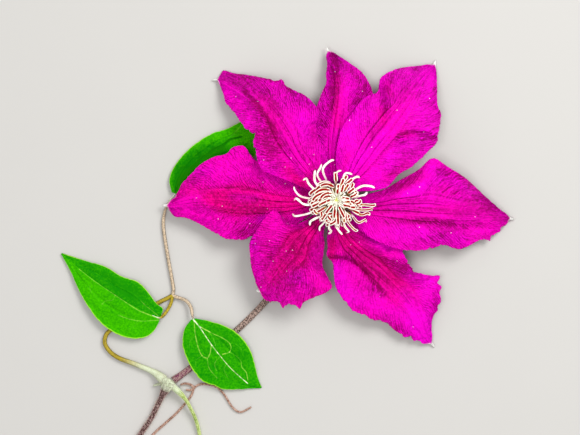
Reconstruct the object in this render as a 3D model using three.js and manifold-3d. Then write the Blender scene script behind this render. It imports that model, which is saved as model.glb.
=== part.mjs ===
// Clematis flower as picked: seven tepals, stamens and pistils on a stalk, with one leaf of three leaflets.
// It lies face up on a table. Millimetres, +Z up, with X and Y measured from the middle of the flower.
import * as THREE from "three";
import { mergeVertices } from "three/addons/utils/BufferGeometryUtils.js";
import Module from "manifold-3d";

const wasm = await Module();
wasm.setup();

// Heights of the flower above the table
const FLOWER_HEIGHT = 13;
const LAYER_STEP = 1.8; // between tepals that lie one over the other
const DOME_FLAT_RADIUS = 15;
const DOME_RADIUS = 70;
const DOME_DROP = 12.5;

// Blades
const TEPAL_THICKNESS = 0.8;
const LEAFLET_THICKNESS = 0.7;
const RIB_HEIGHT = 0.45;
const WAVE_HEIGHT = 1.1;
const TEPAL_ROWS = 18;
const LEAFLET_ROWS = 12;
const TEPAL_STATIONS = [-1, -0.72, -0.45, -0.28, -0.19, -0.1, 0, 0.1, 0.19, 0.28, 0.45, 0.72, 1];
const TEPAL_RIBS = [-0.19, 0, 0.19];
const LEAFLET_STATIONS = [-1, -0.75, -0.55, -0.45, -0.35, -0.1, 0, 0.1, 0.35, 0.45, 0.55, 0.75, 1];
const LEAFLET_RIBS = [-0.45, 0, 0.45];

// Middle of the flower, heights measured from the tepal bases
const RECEPTACLE_RADIUS = 5.4;
const RECEPTACLE_BOTTOM = -4.2;
const RECEPTACLE_TOP = 2.7;
const STAMEN_DISC_INNER = 3;
const STAMEN_DISC_BOTTOM = 3;
const STAMEN_DISC_TOP = 4.6;
const PISTIL_CORE_RADIUS = 2.7;
const PISTIL_CORE_TOP = 6.4;
const STYLE_COUNT = 26;
const STYLE_RADIUS = 0.32;
const STAMEN_HALF_WIDTH = 0.5;
const STAMEN_HALF_THICKNESS = 0.32;

// Stems
const NODE_RADIUS = 3.4;
const NODE_CENTRE = [-67.2, -73.6];
const FLOWER_STALK_RADIUS = 1.3;
const MAIN_STEM_RADIUS = 1.25;
const LEAF_STALK_RADIUS = 1;
const LEAFLET_STALK_RADIUS = 0.7;
const OPPOSITE_STALK_RADIUS = 0.9;
const TENDRIL_RADIUS = 0.58;
const STEM_SIDES = 8;
const THIN_STEM_SIDES = 6;

// Colours, as seen on the flower
const MAGENTA = "#d8009a";
const DEEP_MAGENTA = "#b80082";
const CREAM = "#ecd3c0";
const PALE_GREEN = "#e4e6b4";
const LEAF_GREEN = "#2f9a10";
const DARK_LEAF_GREEN = "#1c6e0a";
const STALK_BROWN = "#8a6c62";
const STEM_BROWN = "#6b4a40";
const LEAF_STALK_GREEN = "#9a9a48";
const TENDRIL_BROWN = "#a27a5c";

// Each tepal has a midrib and two margins, from its base to its tip, as seen from above.
// The left margin is on the left of someone who looks outwards from the middle of the flower.
const TEPALS = [
  {
    name: "tepal_upper_left",
    layer: 1,
    tipHeight: 0.45,
    midrib: [[-4.2, 4], [-7.6, 7.4], [-14.4, 16], [-27.2, 36.8], [-40.4, 46], [-49.6, 48.4]],
    left: [
      [-5.4, 2.2], [-10, 3.6], [-18.4, 7.2], [-28, 12.4], [-32.4, 18], [-33.2, 23.6],
      [-37, 28.8], [-41, 35.6], [-44.6, 42], [-47.4, 47.2],
    ],
    right: [
      [-2.8, 5.2], [-3.4, 11], [-4.4, 20], [-7.2, 27], [-6.8, 35.2], [-10.4, 39.6], [-16.4, 44.4],
      [-21.6, 48.2], [-26.4, 48], [-34, 49.6], [-41.6, 50.8], [-45.4, 51.8],
    ],
  },
  {
    name: "tepal_top",
    layer: -1,
    tipHeight: 2.2,
    midrib: [[-0.2, 5.8], [-1.2, 16], [0, 28], [1.6, 44], [-0.6, 55], [-3.6, 60.8]],
    left: [
      [-2.2, 5.6], [-6, 14], [-9.6, 24], [-9, 33], [-6.4, 41], [-3.6, 47.6], [-4, 52], [-3.4, 58],
    ],
    right: [
      [1.8, 5.8], [6, 14], [12.4, 26], [15.4, 36], [14.6, 43.6], [10.8, 52], [5.6, 56.4], [0, 59.8],
    ],
  },
  {
    name: "tepal_upper_right",
    layer: 1,
    tipHeight: 0.45,
    midrib: [[3.6, 4.6], [6, 9], [11.6, 18], [23.6, 34], [35.6, 50], [40, 55.6]],
    left: [
      [2, 5.6], [0.4, 11], [-0.2, 17], [2, 28], [6.4, 34.8], [10.8, 40.4], [17, 43.4],
      [17.4, 47.2], [19.6, 50.4], [23.6, 52.4], [31.6, 54], [37, 54.8],
    ],
    right: [
      [5, 3.2], [10, 3.4], [15.6, 3.8], [20.4, 5.2], [24.8, 10], [30.8, 13.6], [37.6, 19.2],
      [39.6, 22.8], [41.6, 28.8], [41.8, 35], [40.8, 44], [40.4, 52],
    ],
  },
  {
    name: "tepal_right",
    layer: 0,
    tipHeight: 0.45,
    midrib: [[5.8, -1.6], [12, -3.2], [25.6, -2.8], [45.6, -4.4], [65.6, -6], [71.6, -7.6]],
    left: [
      [6, 0.4], [11, 2], [18.8, 4.2], [25.6, 8], [32.6, 12], [38.6, 16.8], [44.8, 13.2],
      [51.6, 8.8], [58.8, 2.4], [65.6, -3.6], [69.4, -5],
    ],
    right: [
      [5.2, -3.4], [7, -8], [10.4, -12.8], [19.6, -18], [27, -20], [35.6, -20.2], [42.8, -18.2],
      [49.6, -19.6], [57.8, -16.2], [61.4, -16.8], [66, -12.6], [69.6, -9],
    ],
  },
  {
    name: "tepal_lower_right",
    layer: -1,
    tipHeight: 0.45,
    midrib: [[1.4, -5.8], [2.4, -14], [9.6, -22], [19.6, -30], [29.6, -41.2], [39.2, -58.8]],
    left: [
      [3.4, -5], [9, -10], [22, -16.6], [27.6, -23], [33.6, -29.2], [41, -31], [42.2, -36.4],
      [40.6, -42.6], [38.4, -48], [39, -56],
    ],
    right: [
      [-0.8, -5.8], [-3.4, -13], [-3.6, -21], [-1.2, -27], [-1, -33], [3.6, -41.2], [9.6, -45.6],
      [17.2, -48.4], [24.8, -53.2], [31.6, -56.4], [36.4, -58],
    ],
  },
  {
    name: "tepal_lower_left",
    layer: 1,
    tipHeight: 9.2,
    midrib: [[-3.6, -4.6], [-12.4, -13.6], [-18.4, -22], [-25.6, -31.2], [-31.6, -36.4]],
    left: [
      [-2, -5.6], [-4.4, -12.8], [-5.2, -20], [-5.4, -26], [-2.2, -32.6], [-5, -37.2],
      [-11.4, -39.6], [-15, -43], [-20.6, -43], [-25.8, -41], [-29.8, -38],
    ],
    right: [
      [-5.2, -3.2], [-14.4, -9.6], [-19.6, -7.4], [-25, -4.2], [-28.4, -6.4], [-31.6, -11],
      [-34.4, -18], [-34.2, -25.2], [-32.4, -31.6], [-32.2, -34.6],
    ],
  },
  {
    name: "tepal_left",
    layer: -1,
    tipHeight: 2.8,
    midrib: [[-5.8, 0], [-18.4, -1.2], [-34.4, -0.8], [-52.4, 0], [-69.6, -2]],
    left: [
      [-5.6, -1.8], [-13, -8], [-24, -13], [-34.4, -15.8], [-42.4, -16], [-50.4, -12],
      [-58.4, -8.4], [-63.4, -6.6], [-67.6, -3.8],
    ],
    right: [
      [-5.6, 1.8], [-14, 6.6], [-24, 12], [-34.6, 18.6], [-39.4, 22.2], [-43.2, 19.4],
      [-52.4, 15.2], [-60.4, 8], [-64.4, 2.4], [-67.4, 0.2],
    ],
  },
];

// Leaflets have heights above the table too. Those of the leaf lie over stalks, so they arch.
const LEAFLETS = [
  {
    name: "leaflet_left",
    colour: LEAF_GREEN,
    midrib: [
      [-70.6, -47.4, 3], [-76.4, -44.4, 3.3], [-86.4, -40, 3.5], [-94.4, -34.4, 3],
      [-102.4, -28.4, 1.7], [-110, -21.6, 0.4],
    ],
    left: [
      [-71, -48.7, 3], [-72.6, -52, 2.8], [-75.2, -54.4, 2.7], [-79.2, -55.6, 2.7],
      [-86.4, -54.4, 2.9], [-94.4, -49.2, 3], [-101.6, -39.2, 2.2], [-106.4, -28.8, 1.1],
      [-109.4, -23, 0.5],
    ],
    right: [
      [-70.3, -46.2, 3], [-69.4, -43.6, 3], [-71.8, -41.6, 2.9], [-76.4, -35.6, 2.4], [-79.6, -32.8, 2.1],
      [-86.4, -30.4, 1.7], [-92.4, -26.8, 1.4], [-100.4, -24.4, 0.9], [-108.4, -21.8, 0.5],
    ],
  },
  {
    name: "leaflet_right",
    colour: LEAF_GREEN,
    midrib: [
      [-57.2, -47.6, 3.1], [-54.4, -51.2, 3.8], [-50.4, -57.2, 4.3], [-46.4, -62.4, 4.1],
      [-42.4, -67.2, 3.3], [-35.4, -73.2, 1.4], [-30, -74.8, 0.4],
    ],
    left: [
      [-56, -47.6, 3.1], [-51.2, -48.4, 3.3], [-42.4, -51.6, 3.6], [-36, -56.8, 2.6],
      [-33.2, -64, 1.6], [-30.8, -71.2, 0.8], [-29.8, -73.8, 0.5],
    ],
    right: [
      [-58.2, -48.2, 3.1], [-60.4, -51.2, 2.8], [-61.6, -55.2, 2.6], [-61.6, -59.2, 2.9],
      [-58.8, -67, 3.4], [-52.4, -72.8, 2.4], [-47.2, -75.2, 2.2], [-38.4, -76, 1.1],
      [-31.4, -75.6, 0.5],
    ],
  },
  {
    name: "leaflet_back",
    colour: DARK_LEAF_GREEN,
    midrib: [
      [-64.6, 2.6, 1.4], [-58, 13, 2.4], [-46, 22, 2.8], [-33, 27, 1.8], [-26, 29, 0.4],
    ],
    left: [
      [-65.8, 3.2, 1.4], [-66.8, 8, 1.2], [-65.2, 12.8, 1], [-60.4, 19.2, 0.8], [-55.6, 23.2, 1],
      [-49.6, 26.8, 1.4], [-43.2, 28.8, 1.4], [-38.4, 31.2, 1], [-32, 32, 0.8], [-27, 30, 0.4],
    ],
    right: [
      [-63.2, 2.6, 1.4], [-57, 4, 1.2], [-48, 7.5, 1], [-38, 13, 1], [-30.5, 20, 0.8],
      [-26, 27.6, 0.4],
    ],
  },
];

// A stem's route: X, Y and the height of its underside above the table.
const FLOWER_STALK_ROUTE = [
  [-64.2, -71.6, 0], [-58, -67.2, 0], [-49, -60, 0], [-40.6, -53, 0], [-33.4, -46.2, 0],
  [-27.4, -39.6, 0.1], [-18.6, -27, 0.6], [-10, -13.8, 2.2], [-4, -5.4, 4.6], [-1, -1.4, 7.2],
  [-0.3, -0.4, 8.8],
];
const MAIN_STEM_ROUTE = [
  [-67.6, -74.4, 1.4], [-71.2, -81.6, 0], [-74.4, -88, 0], [-78.4, -94, 0], [-88.4, -112, 0],
];
const BRACT_ROUTE = [[-67.4, -73.4, 1.6], [-70.4, -73.8, 1.2], [-73.4, -74.6, 1.2]];
const LEAF_STALK_ROUTE = [
  [-69.9, -71.5, 0], [-72.6, -69.4, 0], [-80.4, -66, 0], [-87.6, -63.2, 0], [-90.8, -60.8, 0],
  [-92.8, -57.4, 0], [-92.2, -54, 0], [-89.6, -51.6, 0], [-81, -46.6, 0], [-72, -41.6, 0],
  [-65.6, -38.4, 0],
];
const LEAFLET_STALK_ROUTES = [
  [[-65.6, -38.4, 0.3], [-66.2, -41.4, 0.9], [-69.2, -46.7, 2.2]],
  [[-65.6, -38.4, 0.3], [-63.2, -39.2, 0.3], [-60.2, -40.4, 0.8], [-58.2, -43, 1.6], [-57.3, -47.2, 2.3]],
  [
    [-65.6, -38.4, 0.3], [-65.2, -36, 0], [-65.8, -32, 0], [-67.6, -22, 0], [-69.2, -11.2, 0],
    [-69.2, -7.2, 0], [-68.4, -3.6, 0], [-66.9, -0.4, 0.4], [-64.9, 2.2, 0.8],
  ],
];
const OPPOSITE_STALK_ROUTE = [
  [-64.1, -75.7, 1], [-61.4, -78, 1.5], [-59.4, -80.6, 1.7], [-58, -83.2, 1.4], [-56, -88, 0.5],
  [-54.8, -94, 0], [-54.4, -98, 0],
];
const TENDRIL_ROUTES = [
  [
    [-82.1, -104.5, 0.2], [-80, -103.8, 0], [-77.2, -99.4, 0], [-73.2, -94, 0], [-68.4, -89.6, 0],
    [-64.4, -86, 0], [-60.4, -81.6, 0], [-58, -78.4, 0], [-56.8, -75.4, 0], [-54.4, -74, 0],
    [-48.8, -74.8, 0], [-45.6, -77.2, 0], [-41.2, -83.6, 0], [-38.4, -85.2, 0], [-34, -83.2, 0.4],
  ],
  [[-56.8, -75.4, 0], [-58.4, -74.2, 0.1], [-60.6, -73.7, 0.3], [-62.4, -74.2, 0.3]],
  [[-56.8, -75.4, 0], [-58.4, -76.4, 0.1], [-60.2, -76.2, 0]],
];

// The outer stamens as they lie in the flower: angle at the root, angle at the tip, and reach.
const OUTER_STAMENS = [
  [121, 94, 16.4], [135, 113, 15.6], [146, 124, 14.2], [156, 142, 16.2], [178, 162, 17.6],
  [193, 176, 16.4], [205, 199, 18.6], [222, 221, 14.4], [238, 236, 13.6], [251, 265, 13.6],
  [265, 281, 13.8], [284, 292, 14.4], [295, 303, 14.8], [310, 328, 15.2], [322, 342, 14.6],
  [337, 348, 16], [346, 354, 16.2], [6, 12, 12.6], [30, 20, 15.4], [56, 45, 13], [73, 60, 13],
  [96, 82, 12.6],
];
const OUTER_RISE = 6;
// The others fill two whorls, and their tips drift the way that the outer ones do.
const INNER_WHORLS = [
  { count: 20, reach: 11, reachSpread: 1.4, rise: 7.8, hook: 1.8 },
  { count: 18, reach: 7.6, reachSpread: 1.1, rise: 9.4, hook: 2.4 },
];
const DRIFT_ANGLE = 15;
const DRIFT = 22; // most turn of a tip, in degrees

// A repeatable draw between -1 and 1
function seededDraw(seed) {
  let state = seed;
  return () => {
    state = (state * 16807) % 2147483647;
    return (2 * state) / 2147483647 - 1;
  };
}

function smoothCurve(points) {
  return new THREE.CatmullRomCurve3(points.map(([x, y, z = 0]) => new THREE.Vector3(x, y, z)));
}

// The solid of a closed three.js geometry, for joins
function solidOf(geometry) {
  const bare = new THREE.BufferGeometry();
  bare.setAttribute("position", geometry.getAttribute("position"));
  bare.setIndex(geometry.getIndex());
  const merged = mergeVertices(bare, 1e-3);
  return new wasm.Manifold(
    new wasm.Mesh({
      numProp: 3,
      vertProperties: merged.getAttribute("position").array,
      triVerts: new Uint32Array(merged.getIndex().array),
    }),
  );
}

// Several closed geometries that overlap, grown together as one
function fused(geometries) {
  let body = solidOf(geometries[0]);
  for (const geometry of geometries.slice(1)) body = body.add(solidOf(geometry));
  const mesh = body.getMesh();
  const joined = new THREE.BufferGeometry();
  joined.setAttribute("position", new THREE.BufferAttribute(mesh.vertProperties, 3));
  joined.setIndex(new THREE.BufferAttribute(mesh.triVerts, 1));
  return joined;
}

// A ridge of unit height round each rib, across the blade
function ridge(ribs, across) {
  const halfWidth = 0.09;
  const nearest = Math.min(...ribs.map((rib) => Math.abs(across - rib)));
  return Math.max(0, 1 - nearest / halfWidth);
}

// A closed blade: one grid makes its upper and its lower skin, so both have the same diagonals.
// surfaceAt gives the middle of the blade at a share along it and a share across it.
function bladeGeometry(stations, rows, thickness, surfaceAt) {
  const columns = stations.length;
  const skin = new THREE.PlaneGeometry(2, 1, columns - 1, rows);
  const skinFaces = skin.getIndex().array;
  const skinPoints = columns * (rows + 1);
  const positions = new Float32Array(2 * 3 * skinPoints);
  for (let i = 0; i < skinPoints; i++) {
    const across = stations[i % columns];
    const along = Math.floor(i / columns) / rows;
    const middle = surfaceAt(along, across);
    middle.clone().setZ(middle.z + thickness / 2).toArray(positions, 3 * i);
    middle.clone().setZ(middle.z - thickness / 2).toArray(positions, 3 * (i + skinPoints));
  }
  const faces = [...skinFaces];
  for (let i = 0; i < skinFaces.length; i += 3) {
    faces.push(skinFaces[i] + skinPoints, skinFaces[i + 2] + skinPoints, skinFaces[i + 1] + skinPoints);
  }
  const rim = [];
  for (let column = 0; column < columns - 1; column++) rim.push(column);
  for (let row = 0; row < rows; row++) rim.push(row * columns + columns - 1);
  for (let column = columns - 1; column > 0; column--) rim.push(rows * columns + column);
  for (let row = rows; row > 0; row--) rim.push(row * columns);
  rim.forEach((here, i) => {
    const next = rim[(i + 1) % rim.length];
    faces.push(here, next, next + skinPoints, here, next + skinPoints, here + skinPoints);
  });
  const blade = new THREE.BufferGeometry();
  blade.setAttribute("position", new THREE.BufferAttribute(positions, 3));
  blade.setIndex(faces);
  blade.computeVertexNormals();
  return blade;
}

// A tube along a route, its underside at the route's heights and one flat side down
function stemGeometry(route, startRadius, endRadius, segments, sides = STEM_SIDES) {
  const curve = smoothCurve(route);
  const tube = new THREE.CylinderGeometry(1, 1, 1, sides, segments, false, Math.PI / sides);
  const flatSide = Math.cos(Math.PI / sides);
  return bentAlong(tube, curve, (share, centre) => {
    const radius = THREE.MathUtils.lerp(startRadius, endRadius, share);
    centre.z = Math.max(0, centre.z) + radius * flatSide;
    return [radius, radius];
  });
}

// A unit cylinder wrapped round a curve. sectionAt gives its half width and half height at a share along it.
function bentAlong(tube, curve, sectionAt) {
  const positions = tube.getAttribute("position");
  const up = new THREE.Vector3(0, 0, 1);
  for (let i = 0; i < positions.count; i++) {
    const local = new THREE.Vector3().fromBufferAttribute(positions, i);
    const share = local.y + 0.5;
    const centre = curve.getPointAt(share);
    const [halfWidth, halfHeight] = sectionAt(share, centre);
    const forwards = curve.getTangentAt(share);
    const sideways = forwards.clone().cross(up).normalize();
    const upwards = sideways.clone().cross(forwards);
    centre.addScaledVector(sideways, local.x * halfWidth);
    centre.addScaledVector(upwards, local.z * halfHeight);
    positions.setXYZ(i, centre.x, centre.y, centre.z);
  }
  tube.computeVertexNormals();
  return tube;
}

// Height of the flower's dome at a distance from its middle, measured from the tepal bases
function domeHeight(x, y) {
  const outwards = Math.max(0, Math.hypot(x, y) - DOME_FLAT_RADIUS);
  return -DOME_DROP * (outwards / (DOME_RADIUS - DOME_FLAT_RADIUS)) ** 2;
}

function tepalGeometry(tepal, index) {
  const midrib = smoothCurve(tepal.midrib);
  const margins = { left: smoothCurve(tepal.left), right: smoothCurve(tepal.right) };
  const tip = tepal.midrib.at(-1);
  const tipRise = tepal.tipHeight - FLOWER_HEIGHT - domeHeight(...tip) - tepal.layer * LAYER_STEP;
  return bladeGeometry(TEPAL_STATIONS, TEPAL_ROWS, TEPAL_THICKNESS, (along, across) => {
    const margin = across > 0 ? margins.left : margins.right;
    const point = midrib.getPointAt(along).lerp(margin.getPointAt(along), Math.abs(across));
    const freePart = THREE.MathUtils.smoothstep(along, 0.5, 0.75) * (1 - along);
    const wave = Math.sin(2 * Math.PI * (3.2 * along + 0.37 * index) + across);
    point.z = domeHeight(point.x, point.y) + tepal.layer * LAYER_STEP;
    point.z += tipRise * THREE.MathUtils.smoothstep(along, 0.5, 1);
    point.z += RIB_HEIGHT * ridge(TEPAL_RIBS, across) * Math.sin(Math.PI * along);
    point.z += 4 * WAVE_HEIGHT * freePart * wave * across * across;
    return point;
  });
}

function leafletGeometry(leaflet) {
  const midrib = smoothCurve(leaflet.midrib);
  const margins = { left: smoothCurve(leaflet.left), right: smoothCurve(leaflet.right) };
  return bladeGeometry(LEAFLET_STATIONS, LEAFLET_ROWS, LEAFLET_THICKNESS, (along, across) => {
    const margin = across > 0 ? margins.left : margins.right;
    const point = midrib.getPointAt(along).lerp(margin.getPointAt(along), Math.abs(across));
    point.z += RIB_HEIGHT * ridge(LEAFLET_RIBS, across) * Math.sin(Math.PI * along);
    point.z = Math.max(point.z, LEAFLET_THICKNESS / 2);
    return point;
  });
}

// The stalk widens at its end into the receptacle, which carries the tepals, stamens and pistils.
function flowerStalkGeometry() {
  const stalk = stemGeometry(FLOWER_STALK_ROUTE, FLOWER_STALK_RADIUS, FLOWER_STALK_RADIUS, 26);
  const profile = [
    [0, RECEPTACLE_BOTTOM],
    [1.6, RECEPTACLE_BOTTOM],
    [3.6, -3.2],
    [RECEPTACLE_RADIUS, -2.4],
    [RECEPTACLE_RADIUS, RECEPTACLE_TOP - 0.4],
    [RECEPTACLE_RADIUS - 0.4, RECEPTACLE_TOP],
    [0, RECEPTACLE_TOP],
  ];
  const receptacle = new THREE.LatheGeometry(profile.map(([r, z]) => new THREE.Vector2(r, z)), 20);
  receptacle.rotateX(Math.PI / 2);
  receptacle.translate(0, 0, FLOWER_HEIGHT);
  return fused([stalk, receptacle]);
}

// A point at a distance and an angle in degrees from the flower's axis
function polar(distance, angle, height) {
  const turn = THREE.MathUtils.degToRad(angle);
  return [distance * Math.cos(turn), distance * Math.sin(turn), height];
}

// One stamen: a strap that rises from the disc, leans outwards and hooks over and aside at its tip
function stamenGeometry({ rootAngle, tipAngle, reach, rise, hook }) {
  const root = 4.2;
  const halfway = STAMEN_DISC_TOP + 0.5 * (rise - STAMEN_DISC_TOP) + 0.6;
  const curve = smoothCurve([
    polar(root, rootAngle, STAMEN_DISC_BOTTOM + 0.9),
    polar(root + 0.35 * (reach - root), rootAngle, halfway),
    polar(root + 0.78 * (reach - root), THREE.MathUtils.lerp(rootAngle, tipAngle, 0.35), rise),
    polar(reach, tipAngle, rise - hook),
  ]);
  const strap = new THREE.CylinderGeometry(1, 1, 1, 3, 4);
  return bentAlong(strap, curve, (share) => {
    const swell = 0.75 + 0.5 * Math.sin(Math.PI * Math.min(1, 0.25 + 0.7 * share));
    return [STAMEN_HALF_WIDTH * swell, STAMEN_HALF_THICKNESS * swell];
  });
}

function innerStamens() {
  const draw = seededDraw(71);
  const stamens = [];
  INNER_WHORLS.forEach((whorl, ring) => {
    for (let i = 0; i < whorl.count; i++) {
      const rootAngle = (360 * (i + 0.5 * ring + 0.3 * draw())) / whorl.count;
      const aside = Math.sin(THREE.MathUtils.degToRad(DRIFT_ANGLE - rootAngle));
      stamens.push({
        rootAngle,
        tipAngle: rootAngle + DRIFT * (aside + 0.5 * draw()),
        reach: whorl.reach + whorl.reachSpread * draw(),
        rise: whorl.rise + 0.6 * draw(),
        hook: whorl.hook,
      });
    }
  });
  return stamens;
}

function stamensGeometry() {
  const ring = [
    [STAMEN_DISC_INNER, STAMEN_DISC_BOTTOM],
    [RECEPTACLE_RADIUS, STAMEN_DISC_BOTTOM],
    [RECEPTACLE_RADIUS - 0.3, STAMEN_DISC_TOP],
    [STAMEN_DISC_INNER, STAMEN_DISC_TOP],
    [STAMEN_DISC_INNER, STAMEN_DISC_BOTTOM],
  ];
  const disc = new THREE.LatheGeometry(ring.map(([r, z]) => new THREE.Vector2(r, z)), 20);
  disc.rotateX(Math.PI / 2);
  const outer = OUTER_STAMENS.map(([rootAngle, tipAngle, reach]) => {
    const turn = ((tipAngle - rootAngle + 540) % 360) - 180;
    return { rootAngle, tipAngle: rootAngle + turn, reach, rise: OUTER_RISE, hook: 1.2 };
  });
  return fused([disc, ...[...outer, ...innerStamens()].map(stamenGeometry)]);
}

// One style: a thin thread that rises from the core and leans a little
function styleGeometry(angle, radius, height, lean) {
  const shape = [
    [radius * 0.8, 0, STAMEN_DISC_BOTTOM + 2],
    [radius, 0, PISTIL_CORE_TOP + 0.4],
    [radius + lean, lean, height],
  ];
  const thread = new THREE.CylinderGeometry(1, 1, 1, 3, 2);
  bentAlong(thread, smoothCurve(shape), (share) => {
    const radiusHere = STYLE_RADIUS * (1.2 - 0.5 * share);
    return [radiusHere, radiusHere];
  });
  return thread.rotateZ(angle);
}

function pistilsGeometry() {
  const profile = [
    [0, STAMEN_DISC_BOTTOM],
    [PISTIL_CORE_RADIUS, STAMEN_DISC_BOTTOM],
    [PISTIL_CORE_RADIUS, STAMEN_DISC_TOP],
    [PISTIL_CORE_RADIUS * 0.75, PISTIL_CORE_TOP - 0.5],
    [0, PISTIL_CORE_TOP],
  ];
  const core = new THREE.LatheGeometry(profile.map(([r, z]) => new THREE.Vector2(r, z)), 14);
  core.rotateX(Math.PI / 2);
  const parts = [core];
  const draw = seededDraw(29);
  const goldenAngle = Math.PI * (3 - Math.sqrt(5));
  for (let i = 0; i < STYLE_COUNT; i++) {
    const radius = 0.25 + 1.9 * Math.sqrt((i + 0.5) / STYLE_COUNT);
    const height = 10.4 + 0.9 * draw() - 0.35 * radius;
    parts.push(styleGeometry(i * goldenAngle, radius, height, 0.35 * draw()));
  }
  return fused(parts);
}

// The main stem ends in a swollen node, where both leaf stalks and the flower stalk meet it.
function mainStemGeometry() {
  const stem = stemGeometry(MAIN_STEM_ROUTE, MAIN_STEM_RADIUS, MAIN_STEM_RADIUS, 14);
  const node = new THREE.SphereGeometry(NODE_RADIUS, 14, 10);
  node.rotateX(Math.PI / 2);
  node.scale(1, 1, 0.9);
  node.translate(...NODE_CENTRE, 0.9 * NODE_RADIUS);
  const bract = stemGeometry(BRACT_ROUTE, 1, 0.35, 4);
  return fused([stem, node, bract]);
}

function leafStalkGeometry() {
  const stalk = stemGeometry(LEAF_STALK_ROUTE, LEAF_STALK_RADIUS, 0.85 * LEAF_STALK_RADIUS, 28);
  const branches = LEAFLET_STALK_ROUTES.map((route) =>
    stemGeometry(route, LEAFLET_STALK_RADIUS, LEAFLET_STALK_RADIUS, 2 * route.length, THIN_STEM_SIDES),
  );
  return fused([stalk, ...branches]);
}

function tendrilGeometry() {
  const threads = TENDRIL_ROUTES.map((route) =>
    stemGeometry(route, TENDRIL_RADIUS, 0.8 * TENDRIL_RADIUS, 2 * route.length, THIN_STEM_SIDES),
  );
  return fused(threads);
}

function meshOf(name, geometry, colour, roughness) {
  const material = new THREE.MeshStandardMaterial({ color: colour, roughness, metalness: 0 });
  const mesh = new THREE.Mesh(geometry, material);
  mesh.name = name;
  return mesh;
}

function buildFlower() {
  const flower = new THREE.Group();
  TEPALS.forEach((tepal, index) => {
    const colour = tepal.layer > 0 ? MAGENTA : DEEP_MAGENTA;
    flower.add(meshOf(tepal.name, tepalGeometry(tepal, index), colour, 0.6));
  });
  flower.add(meshOf("stamens", stamensGeometry(), CREAM, 0.7));
  flower.add(meshOf("pistils", pistilsGeometry(), PALE_GREEN, 0.7));
  flower.position.z = FLOWER_HEIGHT;
  return flower;
}

function buildSprig() {
  const sprig = new THREE.Group();
  sprig.add(buildFlower());
  sprig.add(meshOf("flower_stalk", flowerStalkGeometry(), STALK_BROWN, 0.7));
  sprig.add(meshOf("main_stem", mainStemGeometry(), STEM_BROWN, 0.8));
  sprig.add(meshOf("leaf_stalk", leafStalkGeometry(), LEAF_STALK_GREEN, 0.7));
  for (const leaflet of LEAFLETS) {
    sprig.add(meshOf(leaflet.name, leafletGeometry(leaflet), leaflet.colour, 0.55));
  }
  const opposite = stemGeometry(OPPOSITE_STALK_ROUTE, OPPOSITE_STALK_RADIUS, OPPOSITE_STALK_RADIUS, 16);
  sprig.add(meshOf("opposite_leaf_stalk", opposite, LEAF_STALK_GREEN, 0.7));
  sprig.add(meshOf("tendril", tendrilGeometry(), TENDRIL_BROWN, 0.7));
  return sprig;
}

// The origin goes to the middle of the underside of the sprig's box.
const sprig = buildSprig();
const bounds = new THREE.Box3().setFromObject(sprig, true);
const middle = bounds.getCenter(new THREE.Vector3());
sprig.position.set(-middle.x, -middle.y, -bounds.min.z);

const clematis = new THREE.Group();
clematis.add(sprig);
export default clematis;
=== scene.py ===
"""Clematis flower on its cut stalk, lying face up: fine pieces over the solid model of the same sprig."""

import math
import random

import bmesh
import bpy
from mathutils import Matrix, Vector, noise


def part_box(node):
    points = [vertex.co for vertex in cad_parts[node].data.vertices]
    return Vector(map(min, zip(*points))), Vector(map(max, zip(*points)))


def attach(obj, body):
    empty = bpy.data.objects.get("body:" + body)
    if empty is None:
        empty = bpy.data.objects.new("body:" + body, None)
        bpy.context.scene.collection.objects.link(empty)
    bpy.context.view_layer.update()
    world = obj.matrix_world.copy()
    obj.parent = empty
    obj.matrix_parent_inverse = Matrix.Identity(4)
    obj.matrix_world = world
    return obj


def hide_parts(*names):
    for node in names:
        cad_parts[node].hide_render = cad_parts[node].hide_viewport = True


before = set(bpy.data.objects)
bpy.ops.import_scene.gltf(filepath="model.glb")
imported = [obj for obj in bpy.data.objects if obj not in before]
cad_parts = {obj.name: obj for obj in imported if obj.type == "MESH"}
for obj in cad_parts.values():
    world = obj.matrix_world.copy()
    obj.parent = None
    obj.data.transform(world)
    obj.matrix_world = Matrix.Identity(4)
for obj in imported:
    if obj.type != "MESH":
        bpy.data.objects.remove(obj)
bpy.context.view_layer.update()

bl_info = {
    "name": "Clematis Flower",
    "version": (1, 0, 0),
    "blender": (4, 5, 0),
    "location": "View3D > Sidebar > Clematis",
    "description": "Builds a clematis flower with its stamens, stalks, leaflets and tendril",
    "category": "Add Mesh",
}

# Lengths are in millimetres, and places are counted from the middle of the flower. Heights of the
# receptacle, disc, core and stamens are counted from FLOWER_HEIGHT, and all others from the table.
MM = 0.001
IMAGE_SIZE = (580, 435)
MM_PER_PIXEL = 0.4
FLOWER_PIXEL = (336, 200)

FLOWER_HEIGHT = 13
LAYER_STEP = 1.8
DOME_FLAT_RADIUS = 15
DOME_RADIUS = 70
DOME_DROP = 12.5
RECEPTACLE_RADIUS = 5.4
RECEPTACLE_BOTTOM = -4.2
RECEPTACLE_TOP = 2.7
DISC_INNER = 3
DISC_BOTTOM = 3
DISC_TOP = 4.6
CORE_RADIUS = 2.6
CORE_TOP = 6.6

# Grids that the blades are laid from: steps along and steps across.
TEPAL_GRID = (200, 90)
LEAFLET_GRID = (190, 110)

# Shares of half a tepal's width: the middles of its raised bars, how far each reaches, and the middle and
# half width of the grooves beside them.
BARS = (-0.2, 0, 0.2)
BAR_HALF_WIDTH = 0.075
GROOVES = ((0.1, 0.028), (0.29, 0.03))
# How much nearer the tip a crease is at the margin than at the midrib, as a share of the length.
CREASE_SLANT = 0.24
# The share of its length where a tepal narrows to the small white point at its end.
POINT_START = 0.97

# Inner whorls of stamens: radius where an anther starts, its length, its height and how many.
INNER_WHORLS = ((6.8, 4.6, 6.4, 20), (4.8, 5.2, 8.0, 16), (3.0, 5.0, 9.5, 11))
LOOSE_STAMENS = 20
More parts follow.
